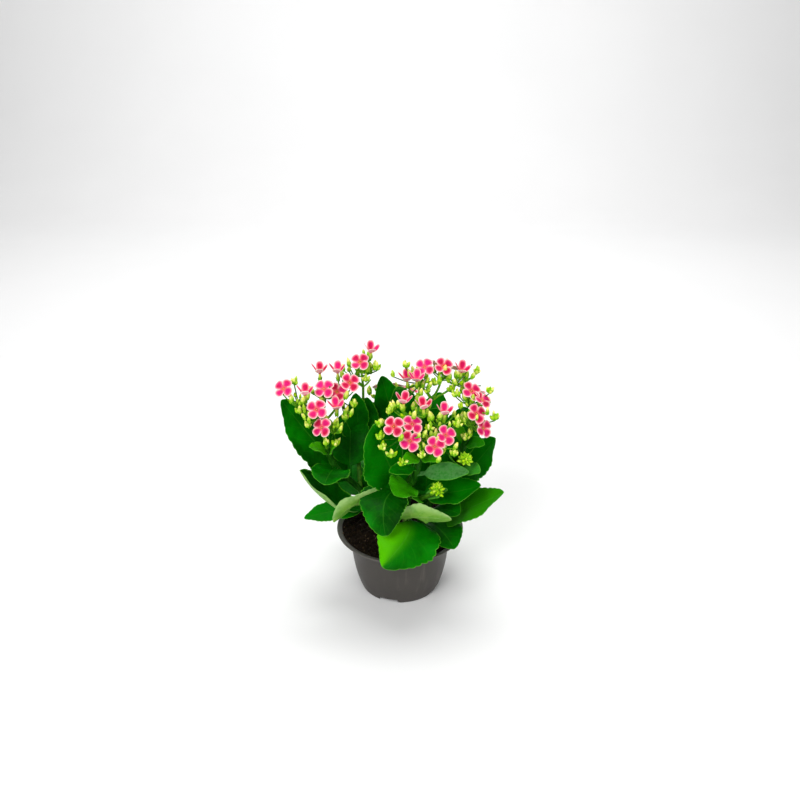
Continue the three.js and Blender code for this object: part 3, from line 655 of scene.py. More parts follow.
shoots = {
    "shoot_left": [
        stem([(-14, 2, stemBottom), (-14, 2, 60), (-34, -4, 98), (-56, -12, 128), (-62, -15, 147)], leaves=[
            leaf(0.42, (-100, -4, 187), 48, (0.5, -0.7, 0.5), -6, fold=16, tone=0),
            leaf(0.24, (-84, -30, 134), 40, (0.5, -0.15, 0.85), -15, fold=34, tone=-0.1, paleRim=2.2,
                pale=1),
            leaf(0.8, (-62, -47, 130), 36, (0, -0.45, 0.89), 5, tone=0.05),
            leaf(0.64, (-43, 20, 168), 42, (0.15, -0.85, 0.5), -3),
            leaf(0.27, (-86, -9, 73), 25, (0, -0.35, 0.94), 4, tone=0.45),
            leaf(0.34, (-72, 40, 120), 44, (0.3, -0.35, 0.89), -8),
            leaf(0.14, (-24, 7, 124), 38, (0.1, -0.85, 0.5), -3, tone=0.15),
            leaf(0.92, (-76, -24, 153), 15, (0.3, -0.2, 0.95), 3, small=True, tone=0.4),
            leaf(0.92, (-52, -22, 156), 15, (-0.3, -0.4, 0.9), 3, small=True, tone=0.4),
        ]),
        stem([(-37, 14, 125), (-33, 18, 156)], start=0.5, leaves=[
            leaf(0.45, (-29, 26, 176), 32, (0.1, -0.9, 0.4), -3),
            leaf(0.68, (-38, 8, 188), 22, (0.1, -0.9, 0.4), -3),
        ]),
    ],
    "shoot_front": [
        stem([(5, -12, stemBottom), (5, -12, 60), (7, -18, 100), (14, -27, 132), (18, -30, 152)], leaves=[
            leaf(0.28, (-15, -66, 62), 60, (0.1, -0.3, 0.95), 10, fold=-4, sway=(22, 0, 0), tone=0.68,
                toneAcross=0.75),
            leaf(0.46, (-21, -40, 182), 54, (0.4, -0.85, 0.34), -8, fold=10, tone=0.4),
            leaf(0.56, (-12, -54, 84), 46, (-0.2, -0.35, 0.92), 9, sway=(-15, 0, 18), tone=-0.25,
                toneAcross=0.3),
            leaf(0.4, (-56, -43, 91), 34, (-0.3, 0.75, 0.6), 0, sway=(-10, -6, 30), tone=0.4, pale=0.72,
                paleAcross=-0.4),
            leaf(0.2, (43, -50, 98), 29, (-0.1, 0.95, 0.3), 0, sway=(-27, -22, 25), tone=0.4, pale=0.72,
                paleAcross=0.4),
            leaf(0.56, (68, -34, 122), 31, (-0.3, -0.35, 0.88), -7, tone=0.45),
            leaf(0.64, (-5, -48, 121), 30, (0.1, -0.5, 0.86), 4, tone=0.65),
            leaf(0.93, (2, -46, 150), 14, (0.2, -0.4, 0.9), 3, small=True),
            leaf(0.82, (-9, -47, 142), 15, (0.1, -0.45, 0.88), 2, small=True, tone=-0.05),
            leaf(0.76, (57, -40, 138), 18, (-0.2, -0.6, 0.78), 3, small=True, tone=-0.3, misty=0.6),
            leaf(0.93, (32, -42, 150), 14, (-0.2, -0.4, 0.9), 3, small=True),
        ]),
        stem([(18, -32, 108), (26, -40, 117)], start=0.5, leaves=[
            leaf(0.5, (10, -46, 117), 16, (0.2, -0.5, 0.85), 0, small=True),
            leaf(0.55, (40, -36, 119), 13, (-0.3, -0.4, 0.86), 0, small=True, misty=0.45),
        ]),
    ],
    "shoot_right": [
        stem([(18, 2, stemBottom), (18, 2, 60), (34, 0, 96), (50, -3, 126), (57, -4, 150)], leaves=[
            leaf(0.12, (88, -32, 114), 36, (-0.4, -0.35, 0.85), -5, fold=12, tone=0.62),
            leaf(0.4, (83, 2, 148), 42, (-0.75, -0.45, 0.48), -7, tone=0.4),
            leaf(0.7, (58, 28, 166), 38, (-0.25, -0.8, 0.55), -4),
            leaf(0.56, (42, -26, 158), 32, (0, -0.8, 0.6), -3),
            leaf(0.12, (51, -34, 93), 34, (0, -0.3, 0.95), 10, tone=0.2),
            leaf(0.14, (47, -42, 63), 42, (0.1, -0.2, 0.97), 7, tone=-0.05),
            leaf(0.22, (25, -5, 134), 38, (0.1, -0.85, 0.5), -3),
            leaf(0.3, (74, 44, 108), 44, (-0.3, -0.25, 0.92), -6),
            leaf(0.93, (72, -14, 150), 15, (-0.3, -0.3, 0.9), 3, small=True),
            leaf(0.93, (46, 6, 158), 15, (0.3, -0.3, 0.9), 3, small=True),
        ]),
        stem([(49, -14, 130), (52, -25, 139)], start=0.62, leaves=[
            leaf(0.6, (66, -38, 136), 18, (-0.2, -0.3, 0.93), 0, small=True, misty=0.2),
            leaf(0.6, (41, -29, 147), 13, (0.2, -0.4, 0.9), 0, small=True),
        ]),
    ],
    "shoot_back": [
        stem([(0, 17, stemBottom), (0, 17, 60), (8, 22, 105), (18, 18, 140), (24, 14, 165)], leaves=[
            leaf(0.2, (-36, 84, 92), 48, (0, 0.1, 1), 4),
            leaf(0.26, (24, 90, 96), 50, (0, 0.2, 1), 5),
            leaf(0.5, (-30, 56, 158), 42, (0.35, -0.5, 0.8), -6),
            leaf(0.58, (38, 60, 166), 42, (-0.3, -0.5, 0.8), -6),
            leaf(0.72, (-3, 26, 186), 36, (0.3, -0.85, 0.42), -4, tone=0.1),
            leaf(0.78, (33, 2, 176), 30, (0, -0.85, 0.5), -3, tone=0.1),
            leaf(0.44, (-16, 32, 194), 36, (0.1, -0.9, 0.4), -5, tone=0.05),
            leaf(0.36, (54, 44, 138), 40, (-0.4, -0.3, 0.86), -6, tone=0.1),
            leaf(0.93, (10, 10, 172), 14, (0.3, -0.2, 0.9), 3, small=True),
        ]),
        stem([(0, 36, 118), (-3, 44, 142)], start=0.34, leaves=[
            leaf(0.75, (-20, 58, 134), 20, (0.1, -0.1, 1), 0, small=True),
            leaf(0.8, (12, 58, 140), 20, (-0.1, -0.1, 1), 0, small=True),
        ]),
    ],
}

leafLook = {
    "grid": (84, 20),
    "smallGrid": (26, 12),
    "fold": 12.0,
    "petioleShare": 0.2,
    "petioleHalfWidth": 2.1,
    "thickness": 1.3,
    "broadLobes": 4.5,
    "broadDepth": 0.04,
    "crenations": 14.0,
    "crenationDepth": 0.065,
    "smallCrenations": 0.4,  # the share of the depth that a small leaf has
    "ripple": 0.05,
    "flutter": 0.012,
    "groove": 0.35,
    "paleRim": 1.0,
    "deep": (0.0008, 0.032, 0.0004),
    "fresh": (0.0012, 0.185, 0.0006),
    "sunny": (0.095, 0.520, 0.0006),
    "margin": (0.10, 0.42, 0.02),
    "under": (0.085, 0.26, 0.030),
    "paleUnder": (0.165, 0.34, 0.045),
    # a whitish painted highlight on the palest undersides
    "paintedUnderHighlight": (0.34, 0.53, 0.19),
    # the greyish colour of a painted sheen
    "mist": (0.10, 0.27, 0.08),
    "vein": (0.06, 0.30, 0.02),
    "veinUnder": (0.36, 0.56, 0.20),
    "sideVeins": 8.0,
    "scatter": (0.0012, 0.0022, 0.0006),
}


def leafSheet(root, leaf, number):
    # the blade as two faces with a rounded margin, and its values for the material;
    # u runs from the root to the tip, v across the blade, s from the end of the petiole to the tip
    look, small = leafLook, leaf.get("small", False)
    rows, columns = look["smallGrid"] if small else look["grid"]
    tip, face, width = np.array(leaf["tip"], float), unit(leaf["face"]), leaf["width"]
    fold = math.radians(leaf.get("fold", look["fold"]))
    bend = (root + tip) / 2 + 2 * leaf["arch"] * face + np.array(leaf.get("sway", (0, 0, 0)))
    length = np.linalg.norm(tip - root)
    u = 0.998 * (1 - (1 - np.linspace(0, 1, rows + 1)[:, None]) ** 1.3)
    w = np.linspace(-1, 1, columns + 1)[None, :]
    v = w * (1.5 - 0.5 * w * w)
    s = np.maximum(0, (u - look["petioleShare"]) / (1 - look["petioleShare"]))
    # the outline: an oval with broad lobes and a finer scalloped margin, on a petiole
    oval = np.sin(math.pi * s**0.85) ** 0.62
    lobes = 1 - look["broadDepth"] * (1 - np.abs(np.sin(look["broadLobes"] * math.pi * s)))
    phase = 0.7 * np.sign(v) + 3 * chance(number)
    notches = 1 - np.abs(np.sin(look["crenations"] * math.pi * s + phase)) ** 0.7
    depth = (look["smallCrenations"] if small else 1) * look["crenationDepth"]
    scallop = lobes * (1 - depth * np.clip((s - 0.18) / 0.2, 0, 1) * notches * np.abs(v) ** 3)
    stalk = look["petioleHalfWidth"] * (1 - 0.6 * u) * np.sqrt(np.maximum(0, 1 - u**8))
    half = np.hypot(0.5 * width * oval * scallop, stalk)
    half = np.maximum(half - 0.4 * look["petioleHalfWidth"] * u * (1 - u**8), 0.12)
    # the midrib's curve, and the blade's own directions along it
    t = u[..., None]
    middle = (1 - t) ** 2 * root + 2 * t * (1 - t) * bend + t**2 * tip
    tangent = 2 * (1 - t) * (bend - root) + 2 * t * (tip - bend)
    tangent = tangent / np.linalg.norm(tangent, axis=-1, keepdims=True)
    up = face - (tangent @ face)[..., None] * tangent
    up = up / np.linalg.norm(up, axis=-1, keepdims=True)
    out = np.cross(tangent, up)
    # the relief: a folded bowl with soft ripples and a groove over the midrib
    swing = fullTurn * (2 * s + 0.13 * length) + np.where(v > 0, 1.9, 0.0)
    ripple = look["ripple"] * width * v * v * oval * np.sin(swing)
    swing = fullTurn * 4.3 * s + 5 * chance(number + 7) + np.sign(v)
    flutter = look["flutter"] * width * np.abs(v) ** 5 * oval * np.sin(swing)
    bowl = 0.5 * (np.sqrt(v * v + 0.02) - math.sqrt(0.02)) + 0.5 * v * v
    lift = half * math.sin(fold) * bowl + ripple + flutter
    thick = look["thickness"] * (1 - 0.3 * np.abs(v)) * (1 - 0.7 * np.abs(v) ** 7)
    thick = thick * (1 - 0.6 * u**10) + 1.9 * np.maximum(0, 1 - u / 0.3) * np.sqrt(np.maximum(0.1, 1 - v * v))
    groove = look["groove"] * np.exp(-((v * half / 0.9) ** 2)) * np.clip(1.2 - u, 0, 1)
    flat = half * math.cos(fold) * v
    points = []
    for side in (1, -1):
        height = lift + 0.5 * side * thick - groove * (1.0 if side > 0 else 1.6)
        points.append((middle + out * flat[..., None] + up * height[..., None]).reshape(-1, 3))
    distance = np.minimum(half * (1 - np.abs(v)), (1 - u) * length * 0.9)
    rim = np.clip(1 - distance / leaf.get("paleRim", look["paleRim"]), 0, 1) * np.clip(s * 12, 0, 1)
    # given tones paint light and shade on single leaves; the others vary at random
    tone = leaf.get("tone", 0.1 + 0.45 * chance(number + 3)) + (0.35 if small else 0)
    values = {
        "rim": rim,
        # a tone that changes across the blade paints light on one half and shade on the other
        "tone": tone + leaf.get("toneAcross", 0.0) * v,
        # a paleness that changes across the blade paints a highlight on one side of a flap
        "pale": leaf.get("pale", 0.0) + leaf.get("paleAcross", 0.0) * v,
        # how much painted greyish sheen a leaf has
        "misty": leaf.get("misty", 0.0),
    }
    floats = {label: np.tile((value + 0 * half).ravel(), 2) for label, value in values.items()}
    floats["under"] = np.repeat([0.0, 1.0], half.size)
    blade = np.stack([(u + 0 * half).ravel(), (v + 0 * half).ravel()], 1)
    return np.concatenate(points), sheetFaces(rows, columns), floats, np.tile(blade, (2, 1))


def leafSkin():
    look = leafLook
    material, tree, shader, place = newSkin("waxyLeaf", 0.45, 0.035)
    blade = made(tree, "UV", "ShaderNodeUVMap", {}, uv_map="blade")
    split = made(tree, "X", "ShaderNodeSeparateXYZ", {"Vector": blade}).node.outputs
    along, across = split["X"], maths(tree, "ABSOLUTE", split["Y"])
    rim, under, tone, pale, misty = reading(tree, "rim", "under", "tone", "pale", "misty")
    clouds, fine, streaks = grain(tree, place, 38, 3), grain(tree, place, 420, 3), grain(tree, place, 150, 4)
    # side veins leave the midrib and run forward to the margin
    run = maths(tree, "MULTIPLY_ADD", across, -0.20, along)
    warped = times(tree, maths(tree, "MULTIPLY_ADD", clouds, 0.05, run), look["sideVeins"])
    veins = ranged(tree, maths(tree, "PINGPONG", warped, 0.5), 0.0, 0.06, 1.0, 0.0)
    veins = times(tree, times(tree, veins, ranged(tree, across, 0.55, 0.95, 1.0, 0.0)), 0.35)
    lines = maths(tree, "MAXIMUM", veins, ranged(tree, across, 0.0, 0.045, 1.0, 0.0))
    # the upper side, from the dark of the shade to the yellow of the sun
    upper = patchy(tree, clouds, 0.34, 0.66, look["deep"], look["fresh"])
    layers = [
        (ranged(tree, tone, 0.0, 0.5, 0.25, 0.7), "fresh"),
        (ranged(tree, tone, -0.6, 0.1, 0.95, 0.0), "deep"),
        (ranged(tree, tone, 0.45, 1.0, 0.0, 0.9), "sunny"),
        (ranged(tree, fine, 0.45, 0.75, 0.0, 0.035), "sunny"),
        (ranged(tree, along, 0.15, 0.55, 0.45, 0.0), "deep"),
        # painted sheen: a greyish glint on a few small leaves
        (times(tree, misty, ranged(tree, fine, 0.3, 0.62, 0.45, 1.0)), "mist"),
        (times(tree, lines, 0.26), "vein"),
        (ranged(tree, rim, 0.25, 0.9, 0.0, 0.75), "margin"),
    ]
    for factor, colour in layers:
        upper = mixed(tree, factor, upper, look[colour])
    lower = patchy(tree, pale, 0.2, 0.75, look["under"], look["paleUnder"])
    # painted highlight: the palest part of an underside turns whitish
    lower = patchy(tree, pale, 0.8, 1.2, lower, look["paintedUnderHighlight"])
    lower = mixed(tree, ranged(tree, streaks, 0.38, 0.64, 0.0, 0.36), lower, look["fresh"])
    lower = mixed(tree, times(tree, lines, 0.4), lower, look["veinUnder"])
    tree.links.new(ranged(tree, fine, 0.3, 0.7, 0.38, 0.5), shader["Roughness"])
    soften(shader, 0.12, look["scatter"])
    shader["Subsurface Scale"].default_value = 1.0
    quilt = maths(tree, "MULTIPLY_ADD", lines, -0.8, times(tree, fine, 0.35))
    coat(tree, shader, mixed(tree, under, upper, lower), quilt, 0.00025, 0.7)
    return material


stemLook = {
    "mainGirth": (3.2, 2.5),
    "sideGirth": (2.0, 1.6),
    "knotGirth": 0.35,
    "young": ((0.08, 0.32, 0.01), (0.20, 0.48, 0.03)),
    "old": ((0.004, 0.070, 0.001), (0.020, 0.140, 0.004)),
}


def stemSkin():
    material, tree, shader, place = newSkin("juicyStem", 0.5, 0.12)
    streaks = grain(tree, stretched(tree, place, 0.2), 420, 3)
    young, old = (patchy(tree, streaks, 0.35, 0.7, *stemLook[age]) for age in ("young", "old"))
    coat(tree, shader, mixed(tree, reading(tree, "age"), young, old), streaks, 0.0002, 0.6)
    return material


leafMaterial, stemMaterial = leafSkin(), stemSkin()
stemLines = {}


def growShoot(node, stems, number):
    sheets, lines = [], []
    for part in stems:
        kind, path, age = "main", part["path"], 1.0
        if part["start"]:
            kind, path, age = "side", [pointAlong(stemLines[node, "main"], part["start"]), *part["path"]], 0.7
        line = stemLines[node, kind] = smoothLine(path)
        thick = np.linspace(*stemLook[kind + "Girth"], len(line))
        for blade in part["leaves"]:  # a stem swells where its leaves leave it
            away = np.linspace(0, 1, len(line)) - blade["at"]
            thick = thick + stemLook["knotGirth"] * np.exp(-((away / 0.03) ** 2))
        lines.append((line, thick, age))
        for blade in part["leaves"]:
            number += 1
            sheets.append(leafSheet(pointAlong(line, blade["at"]), blade, number))
    labels = ("rim", "under", "tone", "pale", "misty")
    whole = joinParts([sheet[:3] for sheet in sheets], labels)
    leaves = solidPiece("leaves" + shortName(node), *whole, np.concatenate([sheet[3] for sheet in sheets]))
    leaves.data.materials.append(leafMaterial)
    finishPiece(leaves, "leaf", node)
    finishPiece(growStems("stems" + shortName(node), lines, stemMaterial, 12), "leaf", node)
    return number


leafNumber = 0
for node, stems in shoots.items():
    leafNumber = growShoot(node, stems, leafNumber)
print("leafy stems ready,", leafNumber, "leaves")


# Blooms, buds and bracts

bloomLook = {
    "petalLength": 9.0,
    "petalHalfWidth": 4.3,
    "petalRaise": 20.0,
    "petalDroop": 0.04,
    "throatRadius": 0.7,
    "thickness": 0.5,
    "rimWidth": 3.0,
    "tube": 8.0,
    "rows": 14,
    "columns": 12,
    "sepal": {"length": 4.2, "halfWidth": 0.75, "base": 1.35, "flare": 0.9},
    "heart": (0.50, 0.001, 0.045),
    "hot": (0.68, 0.006, 0.165),
    "blush": (0.90, 0.14, 0.24),
    "rim": (0.95, 0.58, 0.54),
    "throat": (0.90, 0.22, 0.08),
    "outside": (0.92, 0.34, 0.44),
    "cream": (1.0, 0.82, 0.78),
}
# the tube below the petals and the knob in the throat, from the bottom up
tubeProfile = [(0.75, -8.0), (1.15, -7.4), (1.5, -6.0), (1.45, -4.2), (1.05, -2.0), (0.95, -0.8)]
tubeProfile += [(1.5, -0.1), (1.25, 0.25), (0.7, -0.1), (0.3, -0.9)]
knobProfile = [(0.1, -0.8), (0.45, -0.3), (0.4, 0.25), (0.1, 0.45)]
# a bud's profile as shares; its third ring is the rim of the calyx, which stands up in four teeth
budProfile = [(0.45, 0.0), (0.95, 0.10), (1.12, 0.27), (0.97, 0.29), (1.0, 0.50), (0.74, 0.74)]
budProfile += [(0.38, 0.91), (0.10, 1.0)]
budLook = {
    "radius": 2.0,
    "tall": 8.8,
    "young": 7.0,
    "sides": 8,
    "flute": 0.08,
    "teeth": 0.17,
    "green": ((0.16, 0.48, 0.002), (0.50, 0.74, 0.004)),
    "cream": ((0.86, 0.88, 0.10), (1.0, 0.92, 0.40)),
    "rosy": (0.90, 0.36, 0.34),
    "calyx": ((0.08, 0.36, 0.004), (0.28, 0.58, 0.010)),
    "calyxTip": (0.66, 0.70, 0.10),
}


def petalSheet(open_, turn, number):
    # a round-ended petal from the throat to its tip, its right side over its neighbour
    look = bloomLook
    rows, columns = look["rows"], look["columns"]
    length, width, start = look["petalLength"], look["petalHalfWidth"], look["throatRadius"]
    s = (1 - (1 - np.linspace(0, 1, rows + 1)) ** 1.6)[:, None]
    w = np.linspace(-1, 1, columns + 1)[None, :]
    v = w * (1.35 - 0.35 * w * w)
    half = width * s**0.42 * np.sqrt(1 - s**2.6) / 0.693
    half = np.maximum(half, 0.5 * (1 - s)) + 0.28 * s
    x = start + (length - start) * s + 0 * v
    y = half * v - 0.12 * width * s
    border = np.array([(x[i, k], y[i, k]) for k in (0, -1) for i in range(rows + 1)])
    border = np.concatenate([border, np.stack([x[-1], y[-1]], 1)])
    away = np.hypot(x[..., None] - border[:, 0], y[..., None] - border[:, 1]).min(-1)
    z = 0.5 * np.abs(v) ** 2.2 * np.sin(s * math.pi * 0.9) + 0.5 * v * np.sin(s * math.pi)
    z = z + 1.3 * s * (1 - s) - 1.0 * s**3 + 0.12 * np.sin(9 * s + 4 * v + number)
    y = y * (1 - 0.6 * (1 - open_) * s)
    squeeze = 1 - 0.5 * (1 - open_) * (x / length)
    z = z + (1 - open_) * look["petalRaise"] * (x / length) ** 1.3
    a, b = math.cos(turn), math.sin(turn)
    top = np.stack([squeeze * (x * a - y * b), squeeze * (x * b + y * a), z + 0 * y], -1).reshape(-1, 3)
    thin = (look["thickness"] * (1 - 0.8 * np.abs(v) ** 4) * (1 - 0.7 * s**6) + 0 * y).ravel()
    bottom = top - np.stack([0 * thin, 0 * thin, thin], -1)
    floats = {
        "rim": np.tile((1 - np.minimum(away, look["rimWidth"]) / look["rimWidth"]).ravel(), 2),
        "reach": np.tile((s + 0 * y).ravel(), 2),
        "under": np.repeat([0.0, 1.0], len(top)),
    }
    return np.concatenate([top, bottom]), flipped(sheetFaces(rows, columns)), floats


def sepal(turn):
    # one small pointed sepal that stands round the foot of the tube
    look, points = bloomLook["sepal"], []
    for side in (0.0, -0.25):
        for s in (0.0, 0.4, 0.75, 1.0):
            half = look["halfWidth"] * (1 - s**1.7) + 0.05
            for v in (-1, 0, 1):
                r = look["base"] + look["flare"] * s**1.6 + side + (0.15 if v == 0 else 0)
                points.append((r, half * v, look["length"] * s))
    spin = Matrix.Rotation(turn, 3, "Z")
    return np.array([spin @ Vector(p) for p in points]), sheetFaces(3, 2)


def gather(name, parts):
    # parts are (points, faces, values); the result is a prototype outside the scene
    return prototype(name, *joinParts(parts, ("rim", "reach", "under", "zone")))


def bloomPrototype(name, open_, number):
    look, quarter, parts = bloomLook, fullTurn / 4, []
    for k in range(4):
        parts.append(petalSheet(open_ - look["petalDroop"] * (k % 3), k * quarter, number + k))
    points, faces = spindle(tubeProfile, 10)
    height = points[:, 2]
    reach = np.clip((height + look["tube"]) / look["tube"], 0, 1)
    parts.append((points, faces, {"zone": 1.0 * (height < -0.5), "reach": reach}))
    for k in range(4):
        points, faces = sepal(k * quarter + 0.5)
        parts.append((points - (0, 0, look["tube"] + 0.3), faces, {"zone": 1.0, "reach": 0.1}))
    parts.append((*spindle(knobProfile, 6), {"zone": 1.0, "reach": 0.9}))
    return gather(name, parts)


def budPrototype(name, length, twist):
    sides = budLook["sides"]
    profile = [(r * budLook["radius"], z * length) for r, z in budProfile]
    points, faces = spindle(profile, sides, twist, budLook["flute"])
    points[2 * sides : 3 * sides : 2, 2] += budLook["teeth"] * length
    zone = np.repeat([1.0] * 3 + [0.0] * 5, sides)
    return gather(name, [(points, faces, {"reach": points[:, 2] / length, "zone": zone})])


def bractPrototype(name):
    # a narrow pointed bract that leans away from its stalk
    rows, points = 7, []
    for side in (0.0, -0.5):
        for s in np.linspace(0, 1, rows + 1):
            half = 1.5 * math.sin(math.pi * min(1, 0.12 + 0.88 * s)) ** 0.8 + 0.08
            for v in (-1, -0.5, 0, 0.5, 1):
                z = 5.5 * s + 0.4 * abs(v) + side * (1 - 0.6 * abs(v))
                points.append((0.6 + 6.5 * s - 0.8 * s * s, half * v, z))
    faces = flipped(sheetFaces(rows, 4))
    return gather(name, [(np.array(points), faces, {"zone": 1.0, "reach": 0.3})])


def petalSkin():
    look = bloomLook
    material, tree, shader, place = newSkin("picoteePetal", 0.6, 0.1)
    rim, reach, under, tone = reading(tree, "rim", "reach", "under", "tone")
    shifted = maths(tree, "SUBTRACT", rim, 0.07)
    wavy = maths(tree, "MULTIPLY_ADD", grain(tree, place, 260, 3), 0.14, shifted)
    hue = maths(tree, "MULTIPLY_ADD", tone, 0.5, -0.8)
    hue = maths(tree, "MULTIPLY_ADD", grain(tree, place, 105, 1), 1.6, hue)
    upper = patchy(tree, hue, 0.0, 0.55, look["heart"], look["hot"])
    outer = ranged(tree, reach, 0.04, 0.30)
    upper = mixed(tree, times(tree, ranged(tree, wavy, 0.16, 0.72), outer), upper, look["blush"])
    upper = mixed(tree, times(tree, ranged(tree, wavy, 0.54, 0.92), outer), upper, look["rim"])
    upper = mixed(tree, ranged(tree, reach, 0.02, 0.19, 0.9, 0.0), upper, look["throat"])
    lower = patchy(tree, wavy, 0.45, 0.85, look["outside"], look["cream"])
    soften(shader, 0.25, (0.0012, 0.0006, 0.0006))
    shader["Sheen Weight"].default_value = 0.08
    coat(tree, shader, mixed(tree, under, upper, lower), grain(tree, place, 900, 2), 0.0001, 0.5)
    return material


def budSkin():
    look = budLook
    material, tree, shader, place = newSkin("budSkin", 0.5, 0.12)
    reach, tone = reading(tree, "reach", "tone")
    cloud = grain(tree, place, 500, 3)
    green, cream = (patchy(tree, cloud, 0.35, 0.7, *look[kind]) for kind in ("green", "cream"))
    pale = times(tree, ranged(tree, reach, 0.25, 0.85), ranged(tree, tone, 0.1, 0.7))
    rosy = times(tree, ranged(tree, tone, 0.78, 1.0), ranged(tree, reach, 0.5, 1.0, 0.0, 0.7))
    soften(shader, 0.12, (0.0012, 0.0012, 0.0004))
    colour = mixed(tree, rosy, mixed(tree, pale, green, cream), look["rosy"])
    coat(tree, shader, colour, cloud, 0.00015, 0.5)
    return material


def calyxSkin():
    material, tree, shader, place = newSkin("calyxSkin", 0.5, 0.12)
    cloud = grain(tree, place, 420, 3)
    green = patchy(tree, cloud, 0.35, 0.7, *budLook["calyx"])
    colour = patchy(tree, reading(tree, "reach"), 0.2, 0.9, green, budLook["calyxTip"])
    coat(tree, shader, colour, cloud, 0.00015, 0.5)
    return material


# Flower sprays

sprayLook = {
    "stalk": 1.4,
    "crownGirth": 1.15,
    "branch": (1.05, 0.95),
    "pedicel": (0.7, 0.6),
    "budStalk": (0.55, 0.5),
    "twigStalk": (0.6, 0.5),
    "moreBuds": 7,
    "twigBuds": 8,
    "twigBud": (0.48, 0.38),
    "besideBuds": 4,
    "besideTries": 24,
    "besideBud": (0.6, 0.4),
    # least and range of the lean, the reach, the size and the tone
    "forkBud": ((20, 50), (5, 5), (0.75, 0.35), (0.25, 0.75)),
    "smallBud": ((20, 60), (3, 6), (0.5, 0.45), (0.1, 0.3)),
    "petalReach": 10.8,  # what a bud keeps off: petals, tubes, the view of a flower, and other buds
    "tubeReach": 3.2,
    "hidingReach": 7.0,
    "budReach": 3.2,
    "petalBottom": -2.8,
    "tubeBottom": -9.0,
    "farthest": 19.0,
    "goldenTurn": 137.5,
    "young": ((0.05, 0.26, 0.004), (0.18, 0.44, 0.012)),
    "old": ((0.006, 0.09, 0.002), (0.04, 0.20, 0.005)),
}
halfOpen = 2  # the number of the half-open flower among the prototypes

# Each arm has its end, its number of buds and its flowers as (x, y, z, lean, turn).
sprays = {
    "spray_left": {"on": ("shoot_left", "main"), "crown": (-66, -12, 168), "twigs": [
        (-54, -22, 158), (-38, -6, 187), (-48, 4, 212), (-83, -17, 186), (-76, -19, 174), (-62, -24, 160),
        (-88, -4, 206), (-58, -10, 208), (-46, -10, 176),
    ], "arms": [
        ((-85, -11, 184), 3, [(-96, -10, 200, 48, -22), (-78, -15, 197, 5, 10, halfOpen)]),
        ((-70, -19, 175), 2, [(-68, -25, 188, 52, -5), (-64, -30, 174, 52, -32)]),
        ((-63, 0, 187), 3, [(-63, -8, 199, 46, -12), (-53, -1, 193, 40, 12), (-68, 10, 206, 4, 0, halfOpen)]),
        ((-50, 1, 184), 3, [(-53, 11, 206, 6, -20, halfOpen), (-42, 0, 201, 48, 15),
            (-53, -14, 184, 14, -5, halfOpen)]),
        ((-55, -20, 164), 3, []),
    ]},
    "spray_upper_left": {"on": ("shoot_left", "side"), "crown": (-32, 20, 190), "twigs": [
        (-29, 11, 203), (-43, 21, 207), (-20, 14, 212),
    ], "arms": [
        ((-33, 19, 202), 3, [(-34, 14, 214, 42, -10), (-25, 20, 221, 12, 40, halfOpen)]),
        ((-40, 26, 196), 2, [(-38, 34, 202, 34, 200)]),
    ]},
    "spray_front": {"on": ("shoot_front", "main"), "crown": (16, -33, 162), "twigs": [
        (-16, -38, 184), (-16, -40, 174), (-14, -41, 165), (-7, -43, 159), (2, -45, 153), (44, -43, 160),
        (47, -32, 181), (24, -32, 178), (-8, -28, 191), (18, -45, 160), (11, -28, 194), (28, -27, 189),
    ], "arms": [
        ((2, -35, 168), 4, [(-5, -42, 181, 52, -14), (8, -46, 170, 60, 0), (10, -38, 181, 34, 16)]),
        ((28, -36, 162), 3, [(28, -46, 165, 60, 4), (37, -40, 172, 50, 20)]),
        ((9, -28, 180), 3, [(3, -27, 195, 6, 10, halfOpen), (19, -29, 191, 5, -30, halfOpen)]),
        ((32, -26, 172), 3, [(36, -27, 185, 6, 30, halfOpen)]),
    ]},
    "spray_back": {"on": ("shoot_back", "main"), "crown": (28, 14, 180), "twigs": [
        (-5, 10, 208), (-4, 9, 197), (2, 8, 187), (14, 6, 188), (24, 8, 193), (65, 12, 210),
        (69, 10, 200), (61, 12, 219), (29, 13, 199), (44, 10, 194), (5, 14, 214),
    ], "arms": [
        ((18, 14, 194), 4, [(21, 15, 209, 46, -6), (14, 5, 201, 14, -5, halfOpen),
            (6, 10, 199, 12, -30, halfOpen)]),
        ((36, 18, 196), 3, [(37, 14, 210, 42, 10), (30, 31, 206, 30, 185)]),
        ((48, 13, 194), 4, [(52, 10, 207, 16, 25, halfOpen), (52, 29, 201, 36, 150)]),
    ]},
    "spray_right": {"on": ("shoot_right", "main"), "crown": (60, -4, 164), "twigs": [
        (47, -5, 196), (51, -8, 186), (75, -2, 198), (80, -9, 176), (56, -13, 160), (50, -12, 175),
    ], "arms": [
        ((60, 0, 180), 3, [(60, -1, 194, 44, 20), (69, -4, 187, 34, 50), (66, 13, 189, 34, 140)]),
        ((60, -9, 166), 3, [(64, -12, 178, 50, 20), (70, -13, 165, 60, 35)]),
    ]},
    "spray_rear": {"on": ("shoot_back", "side"), "crown": (-5, 48, 155), "twigs": [
        (-22, 50, 170), (12, 60, 168),
    ], "arms": [
        ((-12, 52, 163), 2, [(-18, 56, 173, 34, 210), (-8, 44, 176, 12, 180)]),
        ((2, 54, 161), 2, [(-2, 63, 170, 42, 180), (9, 54, 172, 24, 130)]),
    ]},
}

